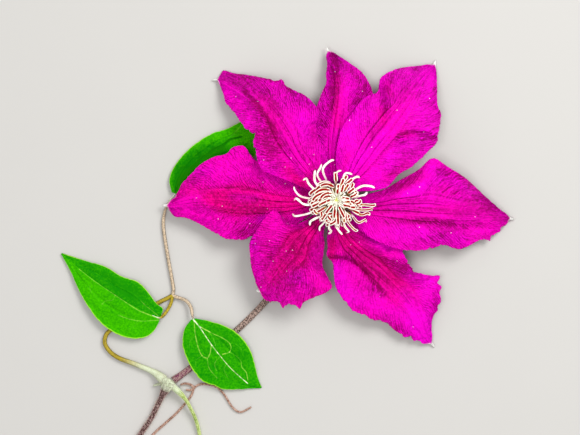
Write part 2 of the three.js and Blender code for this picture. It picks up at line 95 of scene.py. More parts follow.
# Edges of a stamen that turn by more than this stay sharp.
STRAP_CORNER = math.radians(28)
# Steps that round pieces are turned in, and steps between two points of a curve.
ROUND_STEPS = 32
CORE_STEPS = 24
CURVE_STEPS = 24

NODE_TURN = math.radians(-38)
NODE_SHAPE = (1.3, 0.74, 0.9, 1)
FLOWER_STALK_HAIRS = 420
MAIN_STEM_HAIRS = 380
HAIRY_SHARE_OF_NODE = 0.35

STAMEN_SEED = 17
STYLE_SEED = 5
FLOWER_STALK_SEED = 3
MAIN_STEM_SEED = 11

# The stage, in metres. The lamps' places are counted from the middle of the flower.
KEY_LIGHT_PLACE = (0.42, 0.4, 0.74)
FILL_LIGHT_PLACE = (-0.2, -0.12, 1.0)
LAMP_SIZE = 0.5
FLOOR_SIZE = 3
FLOOR_GAP = 0.0002

# The flower's axis stands over the receptacle, which reaches furthest right and back of its stalk.
STALK_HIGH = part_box("flower_stalk")[1]
MIDDLE = Vector((STALK_HIGH.x - RECEPTACLE_RADIUS * MM, STALK_HIGH.y - RECEPTACLE_RADIUS * MM, 0))

# Each tepal: midrib and margins from base to tip. Its left is that of someone looking outwards.
# layer lifts it over its neighbours, tip is the height of its end, teeth are the notches of both margins,
# and rough, crimson and blush are how crumpled and how crimson it is. Strokes are a path, an amount and a
# half width: warmths turn magenta to crimson, and creases raise the blade. The painted shading strokes
# darken the colour as painted shade of folds and of sides turned from the light. Where the amount is below
# nought each kind does the opposite, so painted shading then lightens shaded places as painted light.
TEPALS = {
    "tepal_upper_left": {
        "rough": 1.0,
        "layer": 1,
        "tip": 0.45,
        "teeth": (1.3, 0.35),
        "crimson": 0.62,
        "blush": 0.22,
        "midrib": [
            (-4.2, 4), (-7.6, 7.4), (-14.4, 16), (-27.2, 36.8), (-40.4, 46), (-47.2, 48.3), (-49.6, 48.2),
        ],
        "left": [
            (-5.4, 2.2), (-10, 3.6), (-18.4, 7.2), (-26.7, 10.4), (-29.6, 11.8), (-31.4, 14.8),
            (-32.4, 18.7), (-33.2, 22.8), (-32.7, 25.4), (-33.8, 26.4), (-36, 28.2), (-38, 31), (-40, 34),
            (-42.8, 37.4), (-44.4, 39.3), (-44.8, 41.4), (-45.7, 44), (-46.7, 47.2), (-47.3, 47.8),
        ],
        "right": [
            (-2.8, 5.2), (-3.4, 11), (-4.4, 20), (-7.2, 25), (-8, 30.5), (-6.7, 34), (-7.4, 36.2),
            (-9.1, 38.7), (-12.4, 41.7), (-16.4, 43.8), (-20.2, 45.8), (-20.8, 47.4), (-21.6, 48.3),
            (-23.4, 47.8), (-26.4, 48.3), (-31, 49.3), (-36.4, 50.3), (-40.4, 50.7), (-45.3, 52.1),
            (-45.6, 51.5), (-46.8, 49.2), (-47.3, 48.8),
        ],
        "warmths": [
            ([(-22.8, 26), (-14, 10)], -0.3, 1.6),
            ([(-16, 42), (-10, 39)], -0.25, 2),
            ([(-9.4, 28), (-9, 24)], 0.25, 2),
            ([(-16, 8), (-14, 5.6)], 0.25, 2),
            ([(-30, 26), (-26, 17)], 0.25, 2.6),
            ([(-33, 39), (-28.8, 33.6), (-21.6, 22)], 0.18, 1.4),
            ([(-14.4, 31), (-12, 26)], -0.25, 3),
            ([(-19, 11), (-13, 5)], 0.5, 3.4),
            ([(-22, 35.6), (-12, 14)], -0.2, 3),
        ],
        "painted_shading": [
            ([(-26, 9.6), (-19, 7)], -0.6, 2),
            ([(-21, 20), (-14, 11)], -0.2, 1.3),
            ([(-9.4, 30), (-9, 25)], 0.25, 2),
            ([(-32.6, 25), (-32, 18)], 0.3, 2),
            ([(-20, 24), (-17, 19)], -0.25, 1.5),
            ([(-28.6, 42.6), (-23.4, 37)], 0.5, 2),
            ([(-40, 49.6), (-36, 48.8)], 0.3, 1.5),
            ([(-18, 43), (-12, 36)], 0.36, 2.6),
            ([(-27.6, 27.6), (-22, 19)], 0.25, 1.8),
            ([(-38.6, 35.2), (-37, 33.6)], 0.35, 1.4),
            ([(-45.6, 46), (-44, 43)], -0.3, 2),
            ([(-34.5, 41), (-29.3, 34.2), (-23.5, 25.3), (-19.5, 18)], 0.25, 0.9),
            ([(-11, 34), (-9, 28)], -0.3, 3),
            ([(-46, 47.6), (-41.2, 45.2), (-36.9, 40.1), (-34.6, 33.2), (-35.6, 29.5)], -0.6, 1.6),
            ([(-40.4, 50.8), (-24.4, 48.4), (-11.6, 38.8), (-9.2, 35.6)], 0.4, 2),
            ([(-23.4, 34), (-22, 32)], -0.3, 1.2),
            ([(-17.2, 18), (-14.8, 13.2)], -0.6, 1.2),
            ([(-10, 26), (-10.8, 21.2)], 0.4, 2),
            ([(-28.5, 25), (-25, 14.5)], 0.25, 3.2),
            ([(-37, 43.3), (-32.4, 39.3), (-27.7, 34), (-25, 30)], 0.9, 1.0),
            ([(-25, 30), (-19.1, 20), (-15.1, 13.3)], 0.8, 0.5),
            ([(-33, 43.4), (-25.7, 35.3), (-19.1, 26), (-12.4, 16)], 0.7, 0.45),
            ([(-36, 37), (-30, 28), (-26, 20)], 0.5, 3.2),
            ([(-45, 48), (-36, 45.6), (-28, 43.6)], 0.45, 2.0),
            ([(-29.5, 39.3), (-23, 29.3), (-16.2, 18.7), (-11, 11)], -0.9, 0.8),
            ([(-14, 33), (-17, 28), (-12, 20)], -0.8, 4.5),
            ([(-43, 43), (-38, 33)], -0.3, 2.0),
        ],
        "creases": [
            ([(-15, 12), (-22, 22), (-29, 31), (-36, 37)], -1.5, 3.2),
            ([(-36, 37), (-42, 44)], -0.7, 2.0),
        ],
    },
    "tepal_top": {
        "rough": 1.0,
        "layer": -1,
        "tip": 2.2,
        "teeth": (0.25, 0.25),
        "crimson": 0.3,
        "blush": 0.15,
        "midrib": [
            (-0.2, 5.8), (-1.2, 16), (0, 28), (1.6, 44), (-0.6, 55), (-3.1, 59.8), (-3.8, 61.4),
        ],
        "left": [
            (-2.2, 5.6), (-6, 14), (-9.6, 24), (-9, 33), (-6.4, 41), (-3.8, 47.6), (-4.1, 50), (-3.6, 54),
            (-3.8, 58), (-3.5, 60),
        ],
        "right": [
            (1.8, 5.8), (6, 14), (12.4, 26), (15.4, 36), (14.8, 42.2), (13.4, 46.7), (10.6, 51),
            (4.8, 55.4), (0.8, 58), (-2, 59.8), (-2.8, 60.2),
        ],
        "warmths": [
            ([(3.6, 30), (5.6, 16)], 0.25, 1.6),
            ([(0.5, 49), (0, 30)], 0.42, 1.8),
        ],
        "painted_shading": [
            ([(-2, 21), (-2, 11.6)], -1.7, 2.2),
            ([(3.8, 51), (9.6, 44.4)], 0.28, 3),
            ([(0.4, 53), (0.8, 34)], 0.35, 1.5),
            ([(-6.4, 38), (-5.4, 43)], -0.3, 1.6),
            ([(4, 53), (3.6, 46)], 0.25, 2),
            ([(0.4, 56.4), (7.6, 50), (14, 43.6)], 0.55, 2.2),
            ([(8.4, 50.4), (10, 46.6)], -0.7, 1.7),
            ([(7.6, 41.2), (9, 39)], 0.4, 2.2),
            ([(-2, 34), (-2, 24)], -0.4, 1.4),
            ([(8.8, 42), (8, 36)], 0.28, 3),
            ([(-0.4, 20), (-0.4, 28)], -0.22, 4),
            ([(-1, 58), (-1.2, 48), (-2, 38), (-3.5, 30)], 1.0, 1.7),
            ([(-5, 44), (-7, 32), (-6, 24)], 0.5, 2.6),
            ([(9, 50), (12, 42)], 0.4, 2.0),
            ([(12, 40), (9, 30), (6, 22)], 0.35, 2.6),
            ([(4, 54), (5, 46), (2, 38), (-1, 30), (-3, 20), (-4, 14)], -0.7, 2.0),
        ],
        "creases": [([(-3, 22), (-2, 36), (-0.8, 50)], -1.0, 1.8)],
    },
    "tepal_upper_right": {
        "rough": 0.4,
        "layer": 1,
        "tip": 0.45,
        "teeth": (0.3, 0.45),
        "crimson": 0.4,
        "blush": 0.08,
        "midrib": [
            (3.6, 4.6), (6, 9), (11.6, 18), (23.6, 34), (35.6, 50), (39.6, 53.9), (40, 56.2),
        ],
        "left": [
            (2, 5.6), (0.4, 11), (-0.2, 17), (2, 28), (6.4, 34.8), (10.8, 40.4), (16.6, 43.4), (17, 45.9),
            (17.8, 48.8), (22.1, 51.7), (26, 53), (30.8, 53.6), (38.7, 54.6), (39.4, 54.6),
        ],
        "right": [
            (5, 3.2), (10, 3.4), (15.6, 3.8), (20.4, 5.2), (24.8, 10), (30.8, 13.6), (36.8, 19.2),
            (40.2, 22.8), (40.9, 26.4), (41.8, 32), (42, 34.4), (40.6, 38), (40.6, 46), (40.3, 53),
            (40.2, 54.2),
        ],
        "warmths": [
            ([(20, 14), (25, 22), (34, 25)], -0.3, 2.2),
            ([(3, 12), (5, 18)], 0.3, 1.6),
            ([(20.4, 46), (22, 42)], 0.3, 1.6),
            ([(14, 24), (17, 28)], 0.15, 2),
            ([(20, 8), (28, 14)], 0.3, 2),
            ([(27, 26), (33, 25)], 0.3, 1.5),
            ([(5, 11.6), (18, 26)], -0.3, 3.5),
            ([(17, 36), (19, 31)], 0.3, 1.6),
        ],
        "painted_shading": [
            ([(30, 44.4), (33, 43)], -0.3, 3),
            ([(22, 10), (34, 21)], 0.3, 2.4),
            ([(18, 24), (32, 40)], 0.2, 5),
            ([(30, 27.8), (36.4, 27.6)], -0.3, 1.2),
            ([(19.6, 48), (20.6, 46)], -0.45, 1.8),
            ([(25, 52.4), (33, 52.6)], 0.4, 1),
            ([(39.6, 45.2), (41.5, 30.8)], 0.5, 1.6),
            ([(30, 36), (33, 31)], 0.15, 6),
            ([(23.6, 26.8), (20.4, 14.8)], -0.35, 2),
            ([(6, 11.6), (17, 19.6)], -0.3, 3),
            ([(35, 24), (38, 23)], 0.35, 2),
            ([(19, 34), (16, 28), (12.6, 21)], 0.3, 1.6),
            ([(17, 34), (20, 39)], -0.12, 4),
            ([(21, 48), (19, 42), (20, 36)], 0.7, 2.2),
            ([(20, 36), (15, 28), (10, 20)], 0.35, 1.2),
            ([(24, 25), (30, 27.5), (40, 25)], 0.9, 1.3),
            ([(24, 25), (20, 20), (16, 14)], 0.3, 0.9),
            ([(24, 51), (29, 46), (34, 52)], 0.3, 3.0),
            ([(5, 26), (8, 15), (14, 10)], -0.8, 5.0),
            ([(12, 18), (20, 28), (30, 36)], -0.8, 4.0),
            ([(36, 50), (37, 46)], -0.4, 3.0),
        ],
        "creases": [
            ([(22, 19.6), (26.4, 24.4), (30.4, 26.8), (35.6, 26.2), (41, 24)], -1.3, 1.3),
            ([(18.6, 44), (18.8, 36), (17.6, 29)], -1.2, 1.8),
        ],
    },
    "tepal_right": {
        "rough": 0.5,
        "layer": 0,
        "tip": 0.45,
        "teeth": (0.25, 0.8),
        "crimson": 0.45,
        "blush": 0.26,
        "midrib": [
            (5.8, -1.6), (12, -3.2), (25.6, -2.8), (45.6, -4.4), (65.6, -6), (70, -7.2), (71.9, -7.7),
        ],
        "left": [
            (6, 0.4), (11, 2), (18.8, 4.2), (25.6, 8), (32.6, 12), (38.6, 16.8), (44.8, 13.2), (51.6, 8.8),
            (58.8, 2.4), (65.6, -3.6), (69.4, -6.2), (70.2, -6.8),
        ],
        "right": [
            (5.2, -3.4), (7, -8), (10.4, -12.8), (19.6, -18), (27, -20), (35.6, -20.2), (42.8, -18.2),
            (49.6, -19.6), (57.8, -16.2), (61.6, -16.8), (62, -15), (65.8, -12.6), (66, -11.2),
            (69.6, -9.2), (70.2, -8),
        ],
        "warmths": [
            ([(22, -3), (50, 0.4)], -0.2, 1.8),
            ([(31, 4.4), (40, 7.6)], -0.35, 2.3),
            ([(38, 12), (60, 0), (66, -3)], -0.25, 2.7),
            ([(25, -13), (50, -16)], -0.2, 3),
            ([(22, 2), (33, 8)], 0.25, 1.5),
            ([(40, 4), (50, -1), (62, -4)], 0.12, 5),
            ([(33, 12), (37, 8)], 0.1, 2.4),
            ([(22, 2), (40, 2)], -0.2, 2),
        ],
        "painted_shading": [
            ([(52, 1), (60, -2)], -0.15, 2.5),
            ([(13, -12.4), (31.6, -14), (44, -14)], 0.5, 2.7),
            ([(41, 11), (55, 1)], 0.25, 3),
            ([(30, 1), (60, -4)], 0.1, 9),
            ([(33, 12), (37, 8)], 0.35, 2.4),
            ([(63.6, -4.4), (66.8, -6)], -0.35, 1.2),
            ([(62, -12), (65, -11)], 0.3, 1.6),
            ([(23.6, 2), (40, 2)], -0.2, 1.6),
            ([(38, 13.2), (52.4, 8.4), (65.2, -1.2)], 0.5, 2.5),
            ([(30, 6.8), (23.6, 3.6)], 0.3, 2.4),
            ([(23.6, -2.8), (31.6, -2.8)], -0.3, 1.6),
            ([(20.4, -7.6), (30, -7.6)], -0.7, 1.3),
            ([(49.2, -9.2), (60.4, -8.4)], -0.8, 1.6),
            ([(46, -4.4), (54, -4.4)], -0.3, 1.4),
            ([(20, -17), (24, -17.4)], 0.5, 1.2),
            ([(28, -14.5), (34, -17), (40, -17)], 0.3, 4),
            ([(20, -8.2), (36, -8.7), (48, -10), (57, -10)], 0.9, 1.4),
            ([(14, 3), (24, 6), (32, 10)], 0.6, 2.2),
            ([(58, 0), (64, -4), (69, -7.6)], 0.5, 2.6),
            ([(22, -3.2), (40, -3.6), (54, -5)], 0.4, 0.8),
            ([(27, 2), (34, 6), (39, 14)], -0.9, 2.6),
            ([(34, -2), (46, -2.2)], -0.7, 1.1),
            ([(14, -6.6), (26, -6), (44, -6.6)], -0.6, 0.9),
            ([(14, -12), (24, -14), (34, -13)], -0.9, 3.4),
            ([(56, -13), (64, -11)], -0.5, 2.6),
        ],
        "creases": [([(28, -8.6), (40, -9.4), (52, -10.4), (62, -11)], -1.1, 2.0)],
    },
    "tepal_lower_right": {
        "rough": 0.6,
        "layer": -1,
        "tip": 0.45,
        "teeth": (1.0, 0.9),
        "crimson": 0.95,
        "blush": 0.1,
        "midrib": [
            (1.4, -5.8), (2.4, -14), (9.6, -22), (19.6, -30), (29.6, -41.2), (38.1, -57), (39.7, -59),
        ],
        "left": [
            (3.4, -5), (9, -10), (15.6, -15.6), (22.3, -18.7), (26.5, -19), (26.9, -21.1), (28.3, -23.5),
            (30.3, -26.5), (31.2, -28.2), (34.9, -29.5), (38.9, -30.3), (41.5, -30.3), (41.3, -31.8),
            (40.6, -33.1), (42.3, -34.8), (41.6, -36.8), (42, -40.8), (40.9, -42.1), (40.9, -43.8),
            (39.6, -45.5), (38.6, -48.1), (38.3, -50.5), (38.7, -55.8), (38.7, -57.4),
        ],
        "right": [
            (-0.8, -5.8), (-3, -11), (-3.7, -15.5), (-3.4, -18.8), (-3.8, -22.1), (-1.4, -25.1),
            (-1.1, -28.1), (-0.7, -32.8), (0.3, -36.1), (2.3, -39.5), (5.6, -43.1), (6.3, -44.2),
            (10.9, -46.1), (14.9, -48.2), (16.9, -48.1), (20.3, -49.8), (23.6, -52.1), (27.9, -55.3),
            (29.3, -54.8), (30.6, -56.7), (32.9, -56.4), (35.6, -57.9), (37.9, -57.8),
        ],
        "warmths": [
            ([(16, -26), (23, -37)], -0.15, 2),
            ([(16, -42), (30, -46)], 0.12, 5),
            ([(1, -27), (2, -33)], -0.15, 3),
            ([(8, -44), (24, -52)], 0.2, 3),
            ([(24, -21), (28, -27)], 0.3, 1.8),
            ([(-2, -17), (-2, -23)], 0.7, 1.8),
            ([(27.6, -38), (36, -54)], -0.5, 3.5),
            ([(5, -23.6), (18, -36.4)], -0.32, 3),
        ],
        "painted_shading": [
            ([(34, -32), (40, -40)], 0.25, 3),
            ([(12, -18), (18, -19.4)], 0.25, 1.6),
            ([(0.6, -13), (4, -15)], -0.35, 2.6),
            ([(6, -36), (26, -46)], 0.28, 6),
            ([(2, -18.8), (17, -24)], 0.2, 3),
            ([(32.4, -47), (36, -54.6)], -1, 2.9),
            ([(23, -43), (26, -47)], -0.25, 2.5),
            ([(18, -19), (26, -22)], -0.65, 1.5),
            ([(31, -30), (38, -32)], -0.3, 3),
            ([(23.6, -21), (30, -28.4)], 0.35, 1.8),
            ([(-2, -17), (-2, -23)], 0.3, 1.6),
            ([(1.2, -12.4), (4.4, -17.2), (17.2, -18.8), (25.2, -20.4)], -0.8, 2),
            ([(22, -28.4), (30, -39.6)], 0.3, 1.8),
            ([(30, -30), (39.6, -30.8)], -0.5, 1.6),
            ([(20.4, -49.2), (31.6, -54)], 0.35, 2),
            ([(39.6, -38), (41, -44)], 0.3, 2),
            ([(10, -22), (16, -30)], 0.1, 4),
            ([(5.6, -34), (8, -40)], 0.12, 4),
            ([(-2, -22.6), (5, -23.2), (10, -26), (14, -31)], 0.8, 1.1),
            ([(14, -31), (19, -38)], 0.5, 1.2),
            ([(4, -13), (12, -18), (20, -25), (31, -30)], 0.85, 2.6),
            ([(1, -15), (10, -24), (20, -34)], 0.35, 3.0),
            ([(3, -29), (5, -36), (9, -39)], -0.9, 3.6),
            ([(16, -41), (28, -44), (35, -54)], -0.9, 3.6),
            ([(36, -38), (38, -34)], -0.6, 3.0),
        ],
        "creases": [
            ([(-2, -23.6), (4, -24), (9, -26.6), (14, -31)], -1.5, 1.1),
            ([(14, -21), (24, -28), (31, -36)], -0.7, 1.5),
        ],
    },
    "tepal_lower_left": {
        "rough": 1.1,
        "layer": 1,
        "tip": 9.2,
        "teeth": (1.2, 0.45),
        "crimson": 1.0,
        "blush": 0.5,
        "midrib": [
            (-3.6, -4.6), (-12.4, -13.6), (-18.4, -22), (-25.6, -31.2), (-30.4, -36.2), (-31.9, -36.4),
        ],
        "left": [
            (-2, -5.6), (-4.2, -10), (-5.1, -14), (-4.7, -17.3), (-5.1, -21.3), (-5.6, -25.3),
            (-5.1, -27.3), (-3.4, -30.7), (-1.6, -34.2), (-1.7, -35.1), (-4.4, -37), (-8.4, -38.7),
            (-11.7, -40), (-13.4, -41.3), (-14.4, -43.5), (-16.1, -42.3), (-20.1, -42.4), (-20.9, -43.4),
            (-22.4, -41.3), (-24.1, -40.7), (-26.7, -40.8), (-29.1, -39), (-30.6, -37),
        ],
        "right": [
            (-5.2, -3.2), (-15.1, -9.4), (-20.1, -9), (-22.1, -6.2), (-25.1, -4), (-28.4, -7),
            (-31.4, -11.3), (-34.2, -16), (-34.7, -18.7), (-34.4, -21.3), (-34.1, -24.7), (-33.7, -27.3),
            (-32.7, -30.7), (-31.8, -33.5), (-31, -35.4),
        ],
        "warmths": [
            ([(-34, -17), (-33, -19)], -0.3, 1.6),
            ([(-20, -22), (-17, -30)], -0.3, 3),
            ([(-14, -32), (-12, -35)], -0.25, 3),
            ([(-25, -30), (-20, -26)], 0.3, 3.4),
            ([(-33, -14), (-31, -30)], -0.25, 2.6),
            ([(-28, -38), (-18, -42)], -0.15, 3),
        ],
        "painted_shading": [
            ([(-8, -16), (-14, -26), (-22, -36)], 0.24, 10),
            ([(-7, -9), (-6, -12)], -0.3, 2),
            ([(-26, -36), (-12, -36)], 0.2, 4),
            ([(-33, -17), (-33, -24)], 0.3, 1.8),
            ([(-22.4, -27), (-14, -17.6)], 0.3, 3.8),
            ([(-10, -20), (-9, -30)], -0.25, 2),
            ([(-28, -36), (-19, -40), (-12, -37)], -0.35, 2.6),
            ([(-4.6, -27.6), (-4, -32)], -0.5, 2),
            ([(-20, -18), (-12, -25)], 0.2, 3.6),
            ([(-13.2, -9.2), (-8.4, -14)], -0.8, 2),
            ([(-24.4, -10.8), (-26, -24)], 0.26, 3.4),
            ([(-13, -36), (-10.6, -39)], 0.25, 2.5),
            ([(-27, -31), (-25, -32)], -0.15, 2.5),
            ([(-21.2, -42), (-14, -42.6)], -0.5, 1),
            ([(-12, -14), (-22, -22), (-20, -35)], 0.1, 6.0),
            ([(-8, -11), (-14, -8), (-20, -7)], 0.9, 1.8),
            ([(-26, -5), (-24, -9), (-25, -14)], -0.9, 2.6),
            ([(-4, -34), (-10, -31)], -0.7, 2.4),
        ],
        "creases": [
            ([(-9, -16), (-9.6, -25), (-12, -34)], -0.8, 2.0),
            ([(-16, -12), (-24, -18), (-30, -27)], -0.8, 2.0),
        ],
    },
    "tepal_left": {
        "rough": 1.3,
        "layer": -1,
        "tip": 2.8,
        "teeth": (0.6, 0.3),
        "crimson": 0.95,
        "blush": 0.4,
        "midrib": [
            (-5.8, 0), (-18.4, -2), (-34.4, -1.4), (-52.4, 0), (-67.2, -2.1), (-69.8, -2.2),
        ],
        "left": [
            (-5.6, -1.8), (-13, -8), (-24, -13), (-34.1, -15.1), (-37.7, -16.1), (-42.4, -16.1),
            (-47.7, -13.8), (-53.7, -10.1), (-60.4, -7.1), (-64.5, -6.6), (-66.6, -4), (-67.4, -2.8),
        ],
        "right": [
            (-5.6, 1.8), (-14, 6.6), (-24, 11.6), (-32.1, 15.9), (-34.4, 18.5), (-36.3, 21.2),
            (-38.4, 21.9), (-41.5, 21), (-43.7, 18.6), (-48.4, 17.4), (-54.4, 14.2), (-57.7, 10.9),
            (-61.4, 7.2), (-63.3, 3.2), (-64.4, 0.9), (-66.4, -0.1), (-67.6, -1.4),
        ],
        "warmths": [
            ([(-30, -7.6), (-24, -5.4)], -0.55, 1.9),
            ([(-43, 1.2), (-32, 0.8)], -0.45, 1.8),
            ([(-47, -3.4), (-40, -7)], 0.2, 3),
            ([(-52, 0), (-44, 0.4)], 0.3, 2.5),
            ([(-56, 11), (-51, 12)], -0.25, 2),
            ([(-63, 3), (-54, 4), (-45, 2)], 0.3, 2.4),
        ],
        "painted_shading": [
            ([(-43, -0.4), (-30, -2.4)], 0.25, 3),
            ([(-31, -9), (-27, -6)], -0.2, 1.5),
            ([(-61, 9), (-55, 5)], 0.22, 2),
            ([(-49, 16), (-44, 17)], -0.15, 3),
            ([(-50, -10), (-44, -12)], -0.36, 2.6),
            ([(-66, -2), (-61, -3)], -0.35, 2.4),
            ([(-44, 13), (-36, 14)], -0.25, 4),
            ([(-31, 11.6), (-24, 9.4), (-17, 6.6)], -0.7, 1.5),
            ([(-32.4, -4.2), (-29, -4.6)], 0.6, 1.7),
            ([(-51.6, -1.2), (-48.4, -4.4)], -0.3, 1.6),
            ([(-58, 5.2), (-51.6, 14.8)], 0.3, 2),
            ([(-26, -7.6), (-19.6, -4.4), (-14.8, -3.6)], -0.4, 1.2),
            ([(-62.8, 2.4), (-61, 2)], 0.3, 1.4),
            ([(-55, 4.2), (-46, 5.4), (-38, 4.2), (-26, 4.6)], 0.55, 0.7),
            ([(-64, -1), (-50, 1), (-37, 1.2), (-22, -1)], 0.4, 0.5),
            ([(-54, -2), (-42, -4.2), (-30, -4), (-20, -5)], 0.7, 0.9),
            ([(-38, -13), (-33, -10)], 0.7, 3.6),
            ([(-48, 12), (-38, 13), (-36, 18)], -0.75, 3.6),
            ([(-61, 0), (-56, 3)], -0.6, 2.6),
            ([(-67, -2), (-60, -3), (-52, -5)], -0.5, 3.0),
        ],
        "creases": [([(-30, -7.6), (-42, -7), (-56, -5)], -0.9, 1.8)],
    },
}

# Leaflets: their points have heights. Veins are pale, or dark where the amount is below nought, and the
# broad dark strokes are painted shade. shade darkens a leaflet, and half darkens its right half as painted
# shade of a side that is turned from the light.
LEAFLETS = {
    "leaflet_left": {
        "shade": 0.12,
        "half": 0.42,
        "veins": [
            ([(-69.6, -48), (-72.8, -46.8), (-79.2, -44.2), (-84, -41.2)], 0.45, 0.18),
            ([(-99, -28), (-90, -33), (-80, -38.4)], -0.26, 3),
            ([(-84, -41.2), (-88, -38.4), (-96.8, -32.6), (-103, -27.8)], 0.46, 0.16),
            ([(-71.2, -46.4), (-76.8, -41.8), (-80, -38.6), (-84, -36.2), (-90.4, -33.2), (-97, -29)],
             0.26, 0.18),
            ([(-70.4, -48), (-77.6, -48.6), (-83.2, -47.6), (-87.2, -46.2)], 0.34, 0.15),
            ([(-87.2, -46.2), (-94, -41.4), (-100, -34.6)], 0.11, 0.18),
            ([(-79.4, -48.4), (-80.6, -50.4), (-84, -52)], 0.16, 0.15),
            ([(-88.4, -38.2), (-89.4, -40), (-92.2, -40.4), (-94, -42)], 0.24, 0.15),
            ([(-97, -32.4), (-98.6, -34.2), (-98.2, -37)], 0.18, 0.15),
            ([(-77, -45.2), (-77.6, -42.6), (-75.6, -40)], 0.11, 0.15),
        ],
        "midrib": [
            (-70.6, -47.4, 3), (-76.4, -44.9, 3.3), (-86.4, -39.6, 3.5), (-94.4, -34, 3),
            (-102.4, -28, 1.7), (-110.3, -21.5, 0.4),
        ],
        "left": [
            (-71, -48.7, 3), (-72.6, -52, 2.8), (-75.2, -54.4, 2.7), (-79.2, -55.6, 2.7),
            (-86.4, -54.4, 2.9), (-94.4, -49.2, 3), (-101.6, -39.2, 2.2), (-106.4, -28.8, 1.1),
            (-110.1, -21.8, 0.5),
        ],
        "right": [
            (-70.3, -46.2, 3), (-69.4, -43.6, 3), (-71.8, -41.6, 2.9), (-76.4, -35.6, 2.4),
            (-79.6, -32.8, 2.1), (-86.4, -30.4, 1.7), (-92.4, -26.8, 1.4), (-100.4, -24.4, 0.9),
            (-109.9, -21.5, 0.5),
        ],
    },
    "leaflet_right": {
        "shade": 0.42,
        "half": 0.05,
        "veins": [
            ([(-57.2, -47.8), (-54.4, -51.2), (-50.4, -57.2), (-47.4, -61.2)], 1.3, 0.22),
            ([(-48, -52), (-38, -63)], -0.22, 4),
            ([(-47.4, -61.2), (-42.4, -67.2), (-38.6, -70.8), (-35.4, -73.6)], 1.1, 0.18),
            ([(-56.8, -48.6), (-56.4, -53.4), (-55.2, -59), (-53.6, -62.4), (-51.6, -63.4), (-50.4, -61.4),
              (-50, -58.2)], 0.5, 0.18),
            ([(-51.6, -63.4), (-50.8, -67.4), (-47.6, -71.4)], 0.34, 0.15),
            ([(-43.8, -65.4), (-44.8, -68), (-43.4, -71)], 0.26, 0.15),
            ([(-56.2, -54.4), (-58.4, -56.4), (-58.8, -59)], 0.16, 0.15),
            ([(-53.6, -62.4), (-56.2, -64.4), (-56, -67)], 0.16, 0.15),
            ([(-54.8, -50.6), (-50.4, -53), (-45.6, -55.2), (-42.8, -57.2), (-42, -59.2), (-42.8, -61),
              (-45.4, -61.8)], 0.75, 0.18),
            ([(-42.8, -61), (-40, -62.4), (-38, -64.8), (-37.8, -67), (-36, -69.2), (-35.4, -72)], 0.5, 0.16),
            ([(-51, -52.8), (-49.2, -55.4), (-48.2, -58.4)], 0.34, 0.15),
            ([(-42.4, -57.4), (-39.8, -58), (-37.6, -60.4)], 0.4, 0.15),
            ([(-46.4, -62.6), (-48.6, -65.4), (-47.8, -68.6)], 0.26, 0.15),
        ],
        "midrib": [
            (-57.2, -47.6, 3.1), (-54.4, -51.2, 3.8), (-50.4, -57.2, 4.3), (-46.4, -62.4, 4.1),
            (-42.4, -67.2, 3.3), (-35.4, -73.2, 1.4), (-29.8, -75.3, 0.4),
        ],
        "left": [
            (-56, -47.6, 3.1), (-50.4, -48.6, 3.3), (-42.4, -51.4, 3.6), (-37.6, -55.4, 2.8),
            (-34.4, -60.2, 2), (-32.4, -66.2, 1.3), (-31.6, -70.2, 0.9), (-30, -75, 0.5),
        ],
        "right": [
            (-58.2, -48.2, 3.1), (-60.4, -51.2, 2.8), (-61.4, -55, 2.6), (-61.4, -59, 2.9), (-60, -63, 3.1),
            (-57.6, -67.8, 3.3), (-53.6, -72.6, 2.4), (-48.8, -74.4, 2.2), (-45.6, -75.8, 1.8),
            (-38.4, -76, 1.1), (-30.1, -75.4, 0.5),
        ],
    },
    "leaflet_back": {
        "shade": 0.05,
        "half": 0.0,
        "veins": [
            ([(-64.4, 3.6), (-62.6, 8.4), (-60.4, 10.6), (-58.4, 12.6), (-56, 14.4), (-53.6, 17.4),
              (-51.4, 17.8), (-49, 20.6), (-45.8, 21.4), (-43, 24), (-38, 25.4)], -0.9, 0.4),
            ([(-43.6, 24), (-40.6, 27), (-38, 30)], 0.16, 0.35),
            ([(-62, 8), (-53, 14), (-46, 18.6)], -0.4, 2),
            ([(-62, 13), (-58.6, 13.4)], -0.2, 0.5),
            ([(-56, 20), (-54.4, 17)], -0.2, 0.5),
            ([(-50, 24.4), (-49.4, 20.8)], -0.2, 0.5),
            ([(-64, 6), (-57, 8), (-50, 12)], -0.6, 3.4),
            ([(-62, 12), (-54, 18), (-46, 20)], -0.75, 4),
        ],
        "midrib": [(-64.6, 2.6, 1.4), (-58, 13, 2.4), (-46, 22, 2.8), (-33, 27, 1.8), (-26, 29, 0.4)],
        "left": [
            (-65.8, 3.2, 1.4), (-66.8, 8, 1.2), (-65.2, 12.8, 1), (-60.4, 19.2, 0.8), (-55.6, 23.2, 1),
            (-49.6, 26.8, 1.4), (-43.2, 28.8, 1.4), (-38.4, 31.2, 1), (-32, 32, 0.8), (-27, 30, 0.4),
        ],
        "right": [
            (-63.2, 2.6, 1.4), (-57, 4, 1.2), (-48, 7.5, 1), (-38, 13, 1), (-30.5, 20, 0.8),
            (-26, 27.6, 0.4),
        ],
    },
}

